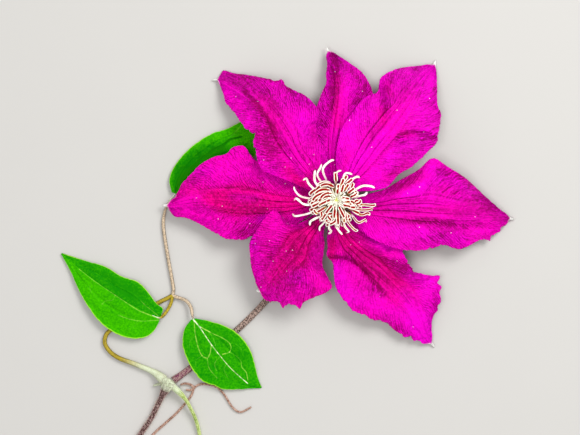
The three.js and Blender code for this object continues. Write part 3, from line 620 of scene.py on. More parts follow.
# Routes of the stems: X, Y and the height of the underside.
FLOWER_STALK_ROUTE = [
    (-65.2, -72.4, 0.3), (-58, -67.2, 0), (-49, -60, 0), (-40.6, -53, 0), (-33.4, -46.2, 0),
    (-27.4, -39.6, 0.1), (-18.6, -27, 0.6), (-10, -13.8, 2.2), (-4, -5.4, 4.6), (-1, -1.4, 7.2),
    (-0.3, -0.4, 8.8),
]
MAIN_STEM_ROUTE = [
    (-67.6, -74.4, 1.4), (-71.2, -81.6, 0), (-74.4, -88, 0), (-78.4, -94, 0), (-88.4, -112, 0),
]
BRACT_ROUTE = [(-67.4, -73.4, 1.6), (-70.4, -73.8, 1.2), (-73.4, -74.6, 1.2)]
LEAF_STALK_ROUTE = [
    (-69.0, -72.2, 0.4), (-72.6, -69.4, 0), (-80.4, -66, 0), (-87.6, -63.2, 0), (-90.8, -60.8, 0),
    (-92.8, -57.4, 0), (-92.2, -54, 0), (-89.6, -51.6, 0), (-81, -46.6, 0), (-72, -41.6, 0),
    (-65.6, -38.4, 0),
]
LEAFLET_STALK_ROUTES = [
    [(-65.6, -38.4, 0.3), (-66.2, -41.4, 0.9), (-68.6, -45.6, 2.0), (-70.6, -47.2, 2.7), (-73.6, -46.2, 3.1)],
    [
        (-65.6, -38.4, 0.3), (-63.2, -39.2, 0.3), (-60.2, -40.4, 0.8), (-58.2, -43, 1.6),
        (-57.3, -47.2, 2.6), (-55.4, -50.2, 3.4),
    ],
    [
        (-65.6, -38.4, 0.3), (-65.2, -36, 0), (-65.8, -32, 0), (-67.6, -22, 0), (-69.2, -11.2, 0),
        (-69.2, -7.2, 0), (-68.4, -3.6, 0), (-66.9, -0.4, 0.4), (-64.9, 2.2, 0.9), (-62.4, 6.4, 1.4),
    ],
]
OPPOSITE_STALK_ROUTE = [
    (-66.6, -73.9, 0.9), (-65, -75.2, 0.9), (-61.8, -78.2, 1.4), (-59.8, -80.8, 1.7), (-58.4, -83.4, 1.4),
    (-56.3, -88, 0.5), (-54.8, -94, 0), (-54.4, -98, 0),
]
TENDRIL_ROUTES = [
    [
        (-82.1, -104.5, 0.2), (-80, -103.8, 0), (-77.2, -99.4, 0), (-73.2, -94, 0), (-68.4, -89.6, 0),
        (-64.4, -86, 0), (-60.4, -81.6, 0), (-58, -78.4, 0), (-56.8, -75.4, 0), (-54.4, -74, 0),
        (-48.8, -74.8, 0), (-45.6, -77.2, 0), (-41.2, -83.6, 0), (-38.4, -85.2, 0), (-34, -83.2, 0.4),
    ],
    [(-56.8, -75.4, 0), (-58.4, -74.2, 0.1), (-60.6, -73.7, 0.3), (-62.4, -74.2, 0.3)],
    [(-56.8, -75.4, 0), (-58.4, -76.4, 0.1), (-60.2, -76.2, 0)],
]
NODE_CENTRE = (-67.2, -73.6)
NODE_RADIUS = 3.4
FLOWER_STALK_RADIUS = 1.3
MAIN_STEM_RADIUS = 1.25
LEAF_STALK_RADIUS = 1.0
LEAFLET_STALK_RADIUS = 0.7
OPPOSITE_STALK_RADIUS = 0.9
TENDRIL_RADIUS = 0.58

# Outer stamens as they lie in the flower: angle at the root, angle at the tip, and reach.
OUTER_STAMENS = [
    (121, 94, 16.4), (135, 113, 15.6), (146, 124, 14.2), (156, 142, 16.2), (178, 162, 17.6),
    (193, 176, 16.4), (205, 199, 18.6), (222, 221, 14.4), (238, 236, 13.6), (251, 265, 13.6),
    (265, 281, 13.8), (284, 292, 14.4), (295, 303, 14.8), (310, 328, 15.2), (322, 342, 14.6),
    (337, 348, 16), (346, 354, 16.2), (366, 372, 12.6), (390, 380, 15.4), (416, 405, 13),
    (433, 420, 13), (456, 442, 12.6),
]


def to_linear(colour):
    """A hex colour as the linear RGB that a shader socket takes."""
    shares = [int(colour[i : i + 2], 16) / 255 for i in (1, 3, 5)]
    return tuple(s / 12.92 if s <= 0.04045 else ((s + 0.055) / 1.055) ** 2.4 for s in shares)


def colour_property(name, description, colour):
    """A colour whose default is given in hex."""
    return bpy.props.FloatVectorProperty(
        name=name, description=description, subtype="COLOR", size=3, min=0, max=1, default=to_linear(colour)
    )


def length_property(name, description, millimetres):
    """A length, held in metres."""
    return bpy.props.FloatProperty(
        name=name, description=description, subtype="DISTANCE", unit="LENGTH", default=millimetres * MM, min=0
    )


class TepalSettings(bpy.types.PropertyGroup):
    """Sizes and colours of the seven tepals"""

    thickness: length_property("Thickness", "Thickness of a tepal", 0.4)
    bar_height: length_property("Bar height", "Height of the three bars along the middle", 0.45)
    wave_height: length_property("Wave height", "Height of the waves near the margins", 1.1)
    pucker_height: length_property("Pucker height", "Height of the puckers between bars and margins", 0.13)
    notch_depth: length_property("Notch depth", "Depth of the small notches in the margins", 0.9)
    point_radius: length_property("Point radius", "Radius of the small point at the end of a tepal", 0.5)
    # bright and deep are the magenta of the crests and of the hollows: deep is painted shade in the creases,
    # grooves and wrinkles and where the strokes paint shade, and bright is painted light on the crests.
    # crimson and crimson_deep do the same on the bars, and deep also gives the random blotches and the back's
    # streaks.
    bright: colour_property("Bright", "Colour of the raised parts", "#f200cc")
    deep: colour_property("Deep", "Colour of the creases between the puckers", "#86005a")
    crimson: colour_property("Crimson", "Colour of the three bars near the base", "#f00086")
    crimson_deep: colour_property("Deep crimson", "Colour of the grooves beside the bars", "#98004c")
    underside: colour_property("Underside", "Colour of the back of a tepal", "#c9489f")
    tip: colour_property("Tip", "Colour of the small point at the end", "#f4f6ee")


class CentreSettings(bpy.types.PropertyGroup):
    """Sizes and colours of the stamens and pistils"""

    anther_width: length_property("Anther width", "Width of the strap that an anther is", 1.56)
    style_count: bpy.props.IntProperty(name="Styles", description="Number of styles", default=70, min=1)
    cream: colour_property("Cream", "Colour of the rims of an anther", "#fffdf0")
    red: colour_property("Red", "Colour of the line along an anther", "#960000")
    pink: colour_property("Pink", "Colour of the thread below an anther", "#f0c4d2")
    gold: colour_property("Gold", "Colour of the pollen and the lit part of the disc", "#b98d3c")
    # The dark colour of the disc and of the threads' feet is painted shade among the stamens.
    painted_depth_shade: colour_property("Depths", "Colour of the shaded disc", "#2e2410")
    style: colour_property("Style", "Colour of the silky styles", "#fffef0")
    style_heart: colour_property("Style heart", "Colour at the heart of the styles", "#c4cc4a")


class LeafSettings(bpy.types.PropertyGroup):
    """Sizes and colours of the leaflets"""

    thickness: length_property("Thickness", "Thickness of a leaflet", 0.4)
    vein_depth: length_property("Vein depth", "How far the main veins are sunk", 0.3)
    light: colour_property("Light", "Colour of the lit green", "#3eb800")
    dark: colour_property("Dark", "Colour of the deeper green", "#008606")
    shadow: colour_property("Shadow", "Colour of the deepest folds", "#003c00")
    vein: colour_property("Midrib", "Colour of the palest veins", "#f4ffe6")
    fine_vein: colour_property("Vein", "Colour of the side veins", "#dcf470")
    rim: colour_property("Rim", "Colour of the thin margin", "#b4f03c")
    underside: colour_property("Underside", "Colour of the back of a leaflet", "#7fae5a")


class StemSettings(bpy.types.PropertyGroup):
    """Colours of the stalks, the stem and the tendril"""

    hair_length: length_property("Hair length", "Length of the fine hairs", 1.1)
    flower_stalk: colour_property("Flower stalk", "Colour of the flower's stalk", "#ae9488")
    flower_stalk_dark: colour_property("Flower stalk, dark", "Darker streaks on it", "#33221a")
    main_stem: colour_property("Main stem", "Colour of the main stem", "#ccaaa6")
    main_stem_dark: colour_property("Main stem, dark", "Darker streaks on it", "#3a100a")
    node: colour_property("Node", "Colour of the swollen node", "#d4dec0")
    node_dark: colour_property("Node, dark", "Darker patches on it", "#6a6440")
    stalk_start: colour_property("Flower stalk, start", "Purple tint of it near the node", "#6a2448")
    leaf_stalk: colour_property("Leaf stalk", "Colour of the leaf's stalk", "#b8a024")
    leaf_stalk_dark: colour_property("Leaf stalk, dark", "Darker streaks on it", "#5c520a")
    leaf_stalk_pale: colour_property("Leaf stalk, pale", "Colour of the leaflet stalks", "#d2bc9e")
    opposite: colour_property("Opposite stalk", "Colour of the opposite leaf's stalk", "#dcea9c")
    opposite_dark: colour_property("Opposite stalk, dark", "Darker streaks on it", "#6e8a2c")
    tendril: colour_property("Tendril", "Colour of the tendril", "#ccaa9a")
    tendril_dark: colour_property("Tendril, dark", "Darker streaks on it", "#6a3a20")
    hair: colour_property("Hair", "Colour of the hairs", "#f6f4ec")


class StageSettings(bpy.types.PropertyGroup):
    """Floor, light and camera"""

    lens: bpy.props.FloatProperty(
        name="Lens", description="Camera lens", unit="CAMERA", default=200, min=10
    )
    key_power: bpy.props.FloatProperty(
        name="Key light", description="Power of the key light", default=6.3, min=0
    )
    fill_power: bpy.props.FloatProperty(
        name="Fill light", description="Power of the fill light", default=3.4, min=0
    )
    sky: bpy.props.FloatProperty(
        name="Sky", description="Strength of the even light", default=0.56, min=0
    )
    floor: colour_property("Floor", "Colour of the floor", "#c6c4c0")


def smooth_step(value, low, high):
    """0 up to low and 1 from high, with a soft start and end between them."""
    share = min(1.0, max(0.0, (value - low) / (high - low)))
    return share * share * (3 - 2 * share)


def smooth_curve(points):
    """A function of a share of the length, along the centripetal spline through the points."""
    knots = [Vector((*p, 0)[:3]) for p in points]
    knots = [2 * knots[0] - knots[1], *knots, 2 * knots[-1] - knots[-2]]
    trail = []
    for p0, p1, p2, p3 in zip(knots, knots[1:], knots[2:], knots[3:]):
        d0, d1, d2 = ((b - a).length ** 0.5 for a, b in ((p0, p1), (p1, p2), (p2, p3)))
        start = d1 * ((p1 - p0) / d0 - (p2 - p0) / (d0 + d1) + (p2 - p1) / d1)
        end = d1 * ((p2 - p1) / d1 - (p3 - p1) / (d1 + d2) + (p3 - p2) / d2)
        for i in range(CURVE_STEPS):
            t = i / CURVE_STEPS
            square = 3 * p2 - 3 * p1 - 2 * start - end
            cube = 2 * p1 - 2 * p2 + start + end
            trail.append(p1 + start * t + square * t * t + cube * t**3)
    trail.append(knots[-2].copy())
    reach = [0.0]
    for a, b in zip(trail, trail[1:]):
        reach.append(reach[-1] + (b - a).length)

    def point_at(share):
        wanted = min(1.0, max(0.0, share)) * reach[-1]
        low, high = 0, len(trail) - 1
        while high - low > 1:
            half = (low + high) // 2
            if reach[half] <= wanted:
                low = half
            else:
                high = half
        span = reach[high] - reach[low]
        return trail[low].lerp(trail[high], (wanted - reach[low]) / span if span else 0)

    return point_at


def put_in_place(bm):
    """Millimetres from the middle of the flower become metres in the frame."""
    bmesh.ops.scale(bm, vec=(MM, MM, MM), verts=bm.verts)
    bmesh.ops.translate(bm, vec=MIDDLE, verts=bm.verts)


def make_piece(bm, node, materials):
    """The finished mesh as an object that rides on the part and stands for its solid."""
    put_in_place(bm)
    mesh = bpy.data.meshes.new(node + "_fine")
    bm.to_mesh(mesh)
    bm.free()
    mesh.polygons.foreach_set("use_smooth", [True] * len(mesh.polygons))
    for material in materials:
        mesh.materials.append(material)
    piece = bpy.data.objects.new(mesh.name, mesh)
    bpy.context.scene.collection.objects.link(piece)
    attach(piece, "root")
    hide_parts(node)
    return piece


def solidify(piece, thickness):
    """Gives a sheet its thickness, with the second material on its underside."""
    shell = piece.modifiers.new("thickness", "SOLIDIFY")
    shell.thickness = thickness
    shell.offset = 0
    shell.material_offset = 1


def new_mesh():
    """An empty mesh with a UV map."""
    bm = bmesh.new()
    bm.loops.layers.uv.new("UVMap")
    return bm


def make_sheet(rows, columns):
    """A flat grid whose X runs across from -1 to 1 and whose Y runs from base to tip, with its UVs."""
    bm = new_mesh()
    bmesh.ops.create_grid(bm, x_segments=columns, y_segments=rows, size=1, calc_uvs=True)
    return bm


def lay_blade(bm, outline, narrowed, height_at, point_radius=None):
    """Moves the grid onto the blade between its two margins.
    narrowed gives how much a margin is cut back, and height_at the height at a place, in millimetres.
    point_radius is half the width of the small point that the blade ends in, if it has one."""
    midrib = smooth_curve(outline["midrib"])
    margins = {-1: smooth_curve(outline["left"]), 1: smooth_curve(outline["right"])}
    rows = {}
    for vert in bm.verts:
        across = vert.co.x
        along = (vert.co.y + 1) / 2
        key = round(along, 5)
        if key not in rows:
            rows[key] = (midrib(along), margins[-1](along), margins[1](along))
        middle, left, right = rows[key]
        side = 1 if across > 0 else -1
        margin = right if side > 0 else left
        half_width = max(0.2, (margin - middle).length)
        share = abs(across) - smooth_step(abs(across), 0.7, 1) * narrowed(along, side) / half_width
        if point_radius:
            rounded = math.sqrt(max(0.01, 1 - max(0.0, (along - POINT_START) / (1 - POINT_START)) ** 2))
            thin = point_radius * rounded * abs(across) / half_width
            share += (min(share, thin) - share) * smooth_step(along, POINT_START - 0.008, POINT_START)
        point = middle.lerp(margin, max(0.0, share))
        point.z = height_at(point, along, across)
        vert.co = point


def bend_rod(
    bm, point_at, section_at, sides, cuts, sideways=None, underside=False, material_index=0, strap=False
):
    """Adds a closed rod along a curve. section_at gives its half width and half height at a share along.
    Its UVs run across it and along it. A strap is flat with a groove along the middle. With underside, the
    curve is where the rod's underside lies."""
    rod = bmesh.new()
    uv_layer = rod.loops.layers.uv.new("UVMap")
    bmesh.ops.create_cone(rod, cap_ends=True, cap_tris=False, segments=sides, radius1=1, radius2=1, depth=1)
    lengthwise = [e for e in rod.edges if abs(e.verts[0].co.z - e.verts[1].co.z) > 0.5]
    bmesh.ops.subdivide_edges(rod, edges=lengthwise, cuts=cuts, use_grid_fill=True)
    rings = {}
    places = {}
    for vert in rod.verts:
        share = vert.co.z + 0.5
        key = round(share, 5)
        if key not in rings:
            centre = point_at(share)
            forwards = (point_at(min(1, share + 0.01)) - point_at(max(0, share - 0.01))).normalized()
            side = Vector(sideways) if sideways else forwards.cross(Vector((0, 0, 1)))
            side = (side - side.dot(forwards) * forwards).normalized()
            half_width, half_height = section_at(share)
            if underside:
                centre.z = max(0.0, centre.z) + half_height
            rings[key] = (centre, side * half_width, side.cross(forwards) * half_height)
        centre, side, up = rings[key]
        x, y = vert.co.x, vert.co.y
        if strap:
            x, y = math.copysign(abs(x) ** 0.35, x), math.copysign(abs(y) ** 0.35, y)
            y *= 1 - 0.5 * (1 - abs(x))
        places[vert] = (x * 0.5 + 0.5, share)
        vert.co = centre + side * x + up * y
    for face in rod.faces:
        face.material_index = material_index
        for loop in face.loops:
            loop[uv_layer].uv = places[loop.vert]
    bmesh.ops.recalc_face_normals(rod, faces=rod.faces)
    mesh = bpy.data.meshes.new("rod")
    rod.to_mesh(mesh)
    rod.free()
    bm.from_mesh(mesh)
    bpy.data.meshes.remove(mesh)


def spin_profile(bm, profile, steps, material_index=0):
    """Turns a closed or axis-to-axis profile of radius and height round the flower's axis."""
    rings = {}
    for radius, height in profile:
        turns = [2 * math.pi * i / steps for i in range(steps if radius else 1)]
        if (radius, height) not in rings:
            rings[radius, height] = [
                bm.verts.new((radius * math.cos(turn), radius * math.sin(turn), height + FLOWER_HEIGHT))
                for turn in turns
            ]
    for lower, upper in zip(profile, profile[1:]):
        for i in range(steps):
            corners = [rings[lower][i % len(rings[lower])], rings[lower][(i + 1) % len(rings[lower])]]
            corners += [rings[upper][(i + 1) % len(rings[upper])], rings[upper][i % len(rings[upper])]]
            face = bm.faces.new(dict.fromkeys(corners))
            face.material_index = material_index
    bmesh.ops.recalc_face_normals(bm, faces=bm.faces)


def add_stalk(bm, route, radius_at, sides, cuts, material_index=0):
    """Adds a round stalk whose underside follows the route."""

    def section_at(share):
        radius = radius_at(share)
        return radius, radius

    bend_rod(bm, smooth_curve(route), section_at, sides, cuts, underside=True, material_index=material_index)


def add_hairs(bm, roots, length, radius, material_index):
    """Short pointed hairs on a surface. roots are pairs of a point and an outward direction."""
    for point, outwards in roots:
        turn = outwards.to_track_quat("Z", "Y").to_matrix().to_4x4()
        place = Matrix.Translation(point + outwards * length * 0.45) @ turn
        made = bmesh.ops.create_cone(
            bm, cap_ends=True, segments=3, radius1=radius, radius2=0.02, depth=length, matrix=place
        )
        for face in {f for v in made["verts"] for f in v.link_faces}:
            face.material_index = material_index


def hair_roots_on_rod(point_at, radius, count, draw, lean):
    """Places for hairs all round a lying stem, a little lean towards its end."""
    roots = []
    for _ in range(count):
        share = draw.uniform(0.01, 0.99)
        centre = point_at(share)
        centre.z = max(0.0, centre.z) + radius
        forwards = (point_at(min(1, share + 0.02)) - point_at(max(0, share - 0.02))).normalized()
        side = forwards.cross(Vector((0, 0, 1))).normalized()
        up = side.cross(forwards)
        turn = draw.uniform(-0.2, math.pi + 0.2)
        outwards = side * math.cos(turn) + up * math.sin(turn)
        roots.append((centre + outwards * radius, (outwards + forwards * lean).normalized()))
    return roots


class NodeBoard:
    """A material's nodes, added and joined in short calls."""

    def __init__(self, name, roughness, specular=0.3, tint=(1, 1, 1)):
        self.material = bpy.data.materials.new(name)
        self.material.use_nodes = True
        self.tree = self.material.node_tree
        self.shader = self.tree.nodes["Principled BSDF"]
        self.shader.inputs["Roughness"].default_value = roughness
        self.shader.inputs["Specular IOR Level"].default_value = specular
        self.shader.inputs["Specular Tint"].default_value = (*tint, 1)

    def join(self, source, target):
        """Links a socket to another, or sets it to a value."""
        if isinstance(source, bpy.types.NodeSocket):
            self.tree.links.new(source, target)
        elif source is not None:
            target.default_value = source

    def math(self, operation, first, second=None, third=None, clamp=False):
        """The result of a math node."""
        node = self.tree.nodes.new("ShaderNodeMath")
        node.operation = operation
        node.use_clamp = clamp
        for socket, value in zip(node.inputs, (first, second, third)):
            self.join(value, socket)
        return node.outputs[0]

    def plus(self, first, second):
        """The sum of two values."""
        return self.math("ADD", first, second)

    def minus(self, first, second):
        """The first value less the second."""
        return self.math("SUBTRACT", first, second)

    def times(self, first, second):
        """The product of two values."""
        return self.math("MULTIPLY", first, second)

    def larger(self, first, second):
        """The larger of two values."""
        return self.math("MAXIMUM", first, second)

    def smaller(self, first, second):
        """The smaller of two values."""
        return self.math("MINIMUM", first, second)

    def absolute(self, value):
        """The value without its sign."""
        return self.math("ABSOLUTE", value)

    def scale(self, value, factor, start):
        """The value times the factor, counted from start."""
        return self.math("MULTIPLY_ADD", value, factor, start)

    def swing(self, pattern, amount):
        """A pattern of 0 to 1, swung about its middle by half the amount either way."""
        return self.scale(pattern, amount, -0.5 * amount)

    def total(self, *values, clamp=True):
        """The sum of the values, kept from 0 to 1 if it is clamped."""
        total = values[0]
        for value in values[1:-1]:
            total = self.plus(total, value)
        return self.math("ADD", total, values[-1], clamp=clamp)

    def step(self, value, low, high):
        """A smooth step from 0 at low to 1 at high."""
        node = self.tree.nodes.new("ShaderNodeMapRange")
        node.interpolation_type = "SMOOTHSTEP"
        self.join(value, node.inputs["Value"])
        node.inputs["From Min"].default_value = low
        node.inputs["From Max"].default_value = high
        return node.outputs[0]

    def mix(self, factor, first, second):
        """The first colour where the factor is 0, and the second where it is 1."""
        node = self.tree.nodes.new("ShaderNodeMix")
        node.data_type = "RGBA"
        self.join(factor, node.inputs["Factor"])
        for value, name in ((first, "A"), (second, "B")):
            socket = [s for s in node.inputs if s.name == name and s.type == "RGBA"][0]
            self.join(value if isinstance(value, bpy.types.NodeSocket) else (*value, 1), socket)
        return [s for s in node.outputs if s.type == "RGBA"][0]

    def uv(self):
        """The shares of the way across and along, as the piece's UV map gives them."""
        node = self.tree.nodes.new("ShaderNodeUVMap")
        node.uv_map = "UVMap"
        split = self.tree.nodes.new("ShaderNodeSeparateXYZ")
        self.tree.links.new(node.outputs[0], split.inputs[0])
        return split.outputs[0], split.outputs[1]

    def attribute(self, name):
        """What the mesh's points hold under that name."""
        node = self.tree.nodes.new("ShaderNodeAttribute")
        node.attribute_name = name
        return node.outputs["Fac"]

    def object_point(self):
        """The place on the piece, in metres."""
        return self.tree.nodes.new("ShaderNodeTexCoord").outputs["Object"]

    def vector(self, x, y, z=0.0):
        """Three values as one vector."""
        node = self.tree.nodes.new("ShaderNodeCombineXYZ")
        for socket, value in zip(node.inputs, (x, y, z)):
            self.join(value, socket)
        return node.outputs[0]

    def noise(self, vector, scale, detail=2.0, roughness=0.5):
        """Cloudy noise of about 0 to 1."""
        node = self.tree.nodes.new("ShaderNodeTexNoise")
        self.join(vector, node.inputs["Vector"])
        node.inputs["Scale"].default_value = scale
        node.inputs["Detail"].default_value = detail
        node.inputs["Roughness"].default_value = roughness
        return node.outputs[0]

    def cells(self, vector, scale, feature="F1"):
        """Distances in a pattern of random cells."""
        node = self.tree.nodes.new("ShaderNodeTexVoronoi")
        node.feature = feature
        self.join(vector, node.inputs["Vector"])
        node.inputs["Scale"].default_value = scale
        return node.outputs["Distance"]

    def colour(self, value):
        """Sets the colour of the material."""
        self.join(value, self.shader.inputs["Base Color"])

    def bump(self, height, strength, distance):
        """Raises the surface by a pattern of heights."""
        node = self.tree.nodes.new("ShaderNodeBump")
        node.inputs["Strength"].default_value = strength
        node.inputs["Distance"].default_value = distance
        self.join(height, node.inputs["Height"])
        self.join(node.outputs[0], self.shader.inputs["Normal"])


def crease_patterns(board, side, along, seed):
    """Fine creases, coarse ones and waves, which all ray out from the bars to the margins."""
    out = board.absolute(side)
    ray = board.plus(along, board.times(out, -CREASE_SLANT))
    spread = board.scale(out, 3.4, board.times(board.math("SIGN", side), 5.0))
    sway = board.noise(board.object_point(), 260.0, 1.0)
    finely = board.scale(ray, 64.0, board.times(sway, 2.2))
    fine = board.noise(board.vector(finely, spread, seed), 1.0, 2.0, 0.6)
    coarse = board.noise(board.vector(board.times(ray, 19.0), spread, seed + 3), 1.0, 1.0)
    waves = board.math("SINE", board.scale(ray, 335.0, board.times(sway, 17.0)))
    return fine, coarse, waves


def bar_grooves(board, side, along, seed):
    """Grooves beside the bars, which sway a little and fade before the tip. The colour is darkened in them
    as painted shade.
    """
    sway = board.noise(board.vector(board.times(along, 7.0), side, seed), 1.0, 1.0)
    place = board.absolute(board.plus(side, board.swing(sway, 0.09)))
    grooves = [
        board.step(board.absolute(board.minus(place, middle)), width, 0.004) for middle, width in GROOVES
    ]
    return board.times(board.larger(*grooves), board.step(along, 0.75, 0.3))


def crimson_share(board, out, along, bar_zone, grain, outline):
    """How much crimson shows: most on the bars near the base, and as the strokes of warmth say."""
    rough = outline["rough"]
    spread_out = board.step(board.plus(out, board.times(along, 0.9)), 1.35, 0.6)
    warm = board.scale(bar_zone, 0.3, board.times(spread_out, 0.7))
    warm = board.times(board.step(along, 1.0, 0.5), warm)
    warm = board.larger(board.times(warm, outline["crimson"]), outline["blush"])
    return board.total(warm, board.swing(grain, -0.5 * rough), board.attribute("warmth"))


def tepal_material(name, seed, outline, settings):
    """Magenta with fine creases that ray out from three crimson bars to the margins. The colour is darkened
    in their hollows as painted shade and lightened on the crests as painted light, and carries the
    strokes' painted shade and painted light.
    """
    board = NodeBoard(name, 0.42, 0.45, (1.0, 0.03, 0.75))
    rough = outline["rough"]
    # The painted shade and painted light that the strokes leave on the points.
    painted_shading_amount = board.attribute("painted_shading_amount")
    across, along = board.uv()
    side = board.swing(across, 2.0)
    out = board.absolute(side)
    creases, coarse, waves = crease_patterns(board, side, along, seed)
    groove = bar_grooves(board, side, along, seed)
    pebbles = board.noise(board.object_point(), 560.0)
    grain = board.noise(board.object_point(), 1250.0, 2.0, 0.6)
    blotches = board.noise(board.object_point(), 60.0)
    lines = board.noise(board.vector(board.times(side, 30.0), board.times(along, 3.0), seed), 1.0, 1.5)
    bar_zone = board.step(out, 0.42, 0.24)
    wrinkled = board.times(board.step(blotches, 0.22, 0.46), board.step(out, 0.12, 0.36))
    broken = board.scale(board.step(pebbles, 0.42, 0.58), 0.75, 0.25)
    wrinkles = board.times(board.plus(waves, 0.4), board.times(wrinkled, broken))

    # How far the colour goes from bright to deep. It follows the bump below: painted shade in the hollows of
    # the creases, the grooves and the fine lines on the bars, and painted light on the crests of the
    # wrinkles, pebbles and grain. The strokes add their painted shade and painted light and strengthen the
    # crease shade, and the blotches and coarse patches vary the tone at random.
    texture = board.scale(creases, 0.55, board.times(grain, 0.45))
    contrast = board.times(board.scale(bar_zone, -0.6, 2.0), board.scale(painted_shading_amount, 0.7, 0.85))
    shaded = board.scale(board.larger(painted_shading_amount, 0.0), 0.66, 0.4 - 0.08 * rough)
    shaded = board.scale(board.smaller(painted_shading_amount, 0.0), 0.44, shaded)
    thin_creases = board.times(board.step(creases, 0.42, 0.3), board.scale(bar_zone, -0.15, 0.32))
    fine_lines = board.times(board.minus(0.5, lines), bar_zone)
    darkness = board.total(
        board.times(board.minus(0.5, texture), contrast),
        shaded,
        board.times(thin_creases, board.scale(painted_shading_amount, 0.9, 0.7)),
        board.swing(blotches, -0.5),
        board.swing(coarse, -0.35),
        board.times(groove, 0.42),
        board.times(wrinkles, -0.14 - 0.18 * rough),
        board.swing(pebbles, -0.6 - 0.5 * rough),
        board.swing(grain, -0.6 * rough),
        board.times(fine_lines, 1.2),
    )
    base = board.mix(darkness, settings.bright, settings.deep)
    crimson = board.mix(darkness, settings.crimson, settings.crimson_deep)
    base = board.mix(crimson_share(board, out, along, bar_zone, grain, outline), base, crimson)
    specks = board.step(board.cells(board.object_point(), 270.0), 0.05, 0.036)
    base = board.mix(board.times(specks, 0.95), base, settings.tip)
    board.colour(board.mix(board.attribute("tip"), base, settings.tip))
    relief = board.total(
        board.scale(creases, 0.42, board.times(grain, 0.5)),
        board.times(lines, board.times(bar_zone, 0.6)),
        board.times(groove, -0.4),
        board.scale(wrinkles, 0.1 + 0.12 * rough, board.times(pebbles, 0.6 + 0.3 * rough)),
        clamp=False,
    )
    board.bump(relief, 1.0, 0.0008)
    return board.material


def tepal_underside_material(settings):
    """The paler back of a tepal, with lengthwise streaks."""
    board = NodeBoard("tepal underside", 0.6, 0.25, (1.0, 0.3, 0.8))
    across, along = board.uv()
    streaks = board.noise(board.vector(board.times(across, 22.0), along), 1.0, 3.0)
    base = board.mix(board.step(streaks, 0.35, 0.7), settings.underside, settings.deep)
    board.colour(base)
    board.bump(streaks, 0.5, 0.0005)
    return board.material


class Strokes:
    """Soft strokes laid on a blade. Each is a path, its amount and its half width."""

    def __init__(self, strokes, curved=False):
        self.strokes = []
        for path, amount, width in strokes:
            knots = [Vector(knot) for knot in path]
            if curved:
                point_at = smooth_curve(path)
                count = 4 * (len(path) - 1)
                knots = [point_at(i / count).xy for i in range(count + 1)]
            low = Vector((min(k.x for k in knots) - 3 * width, min(k.y for k in knots) - 3 * width))
            high = Vector((max(k.x for k in knots) + 3 * width, max(k.y for k in knots) + 3 * width))
            self.strokes.append((list(zip(knots, knots[1:])), amount, width, low, high))

    def at(self, point):
        """The sum of the strokes at a place."""
        total = 0.0
        flat = Vector((point.x, point.y))
        for spans, amount, width, low, high in self.strokes:
            if not (low.x < flat.x < high.x and low.y < flat.y < high.y):
                continue
            nearest = 1e9
            for a, b in spans:
                share = min(1.0, max(0.0, (flat - a).dot(b - a) / (b - a).length_squared))
                nearest = min(nearest, (flat - a.lerp(b, share)).length)
            total += amount * math.exp(-((nearest / width) ** 2))
        return total


def dome_height(point):
    """The height of the open flower's dome at a place, which is nought in the middle and falls outwards."""
    outwards = max(0.0, math.hypot(point.x, point.y) - DOME_FLAT_RADIUS)
    return -DOME_DROP * (outwards / (DOME_RADIUS - DOME_FLAT_RADIUS)) ** 2


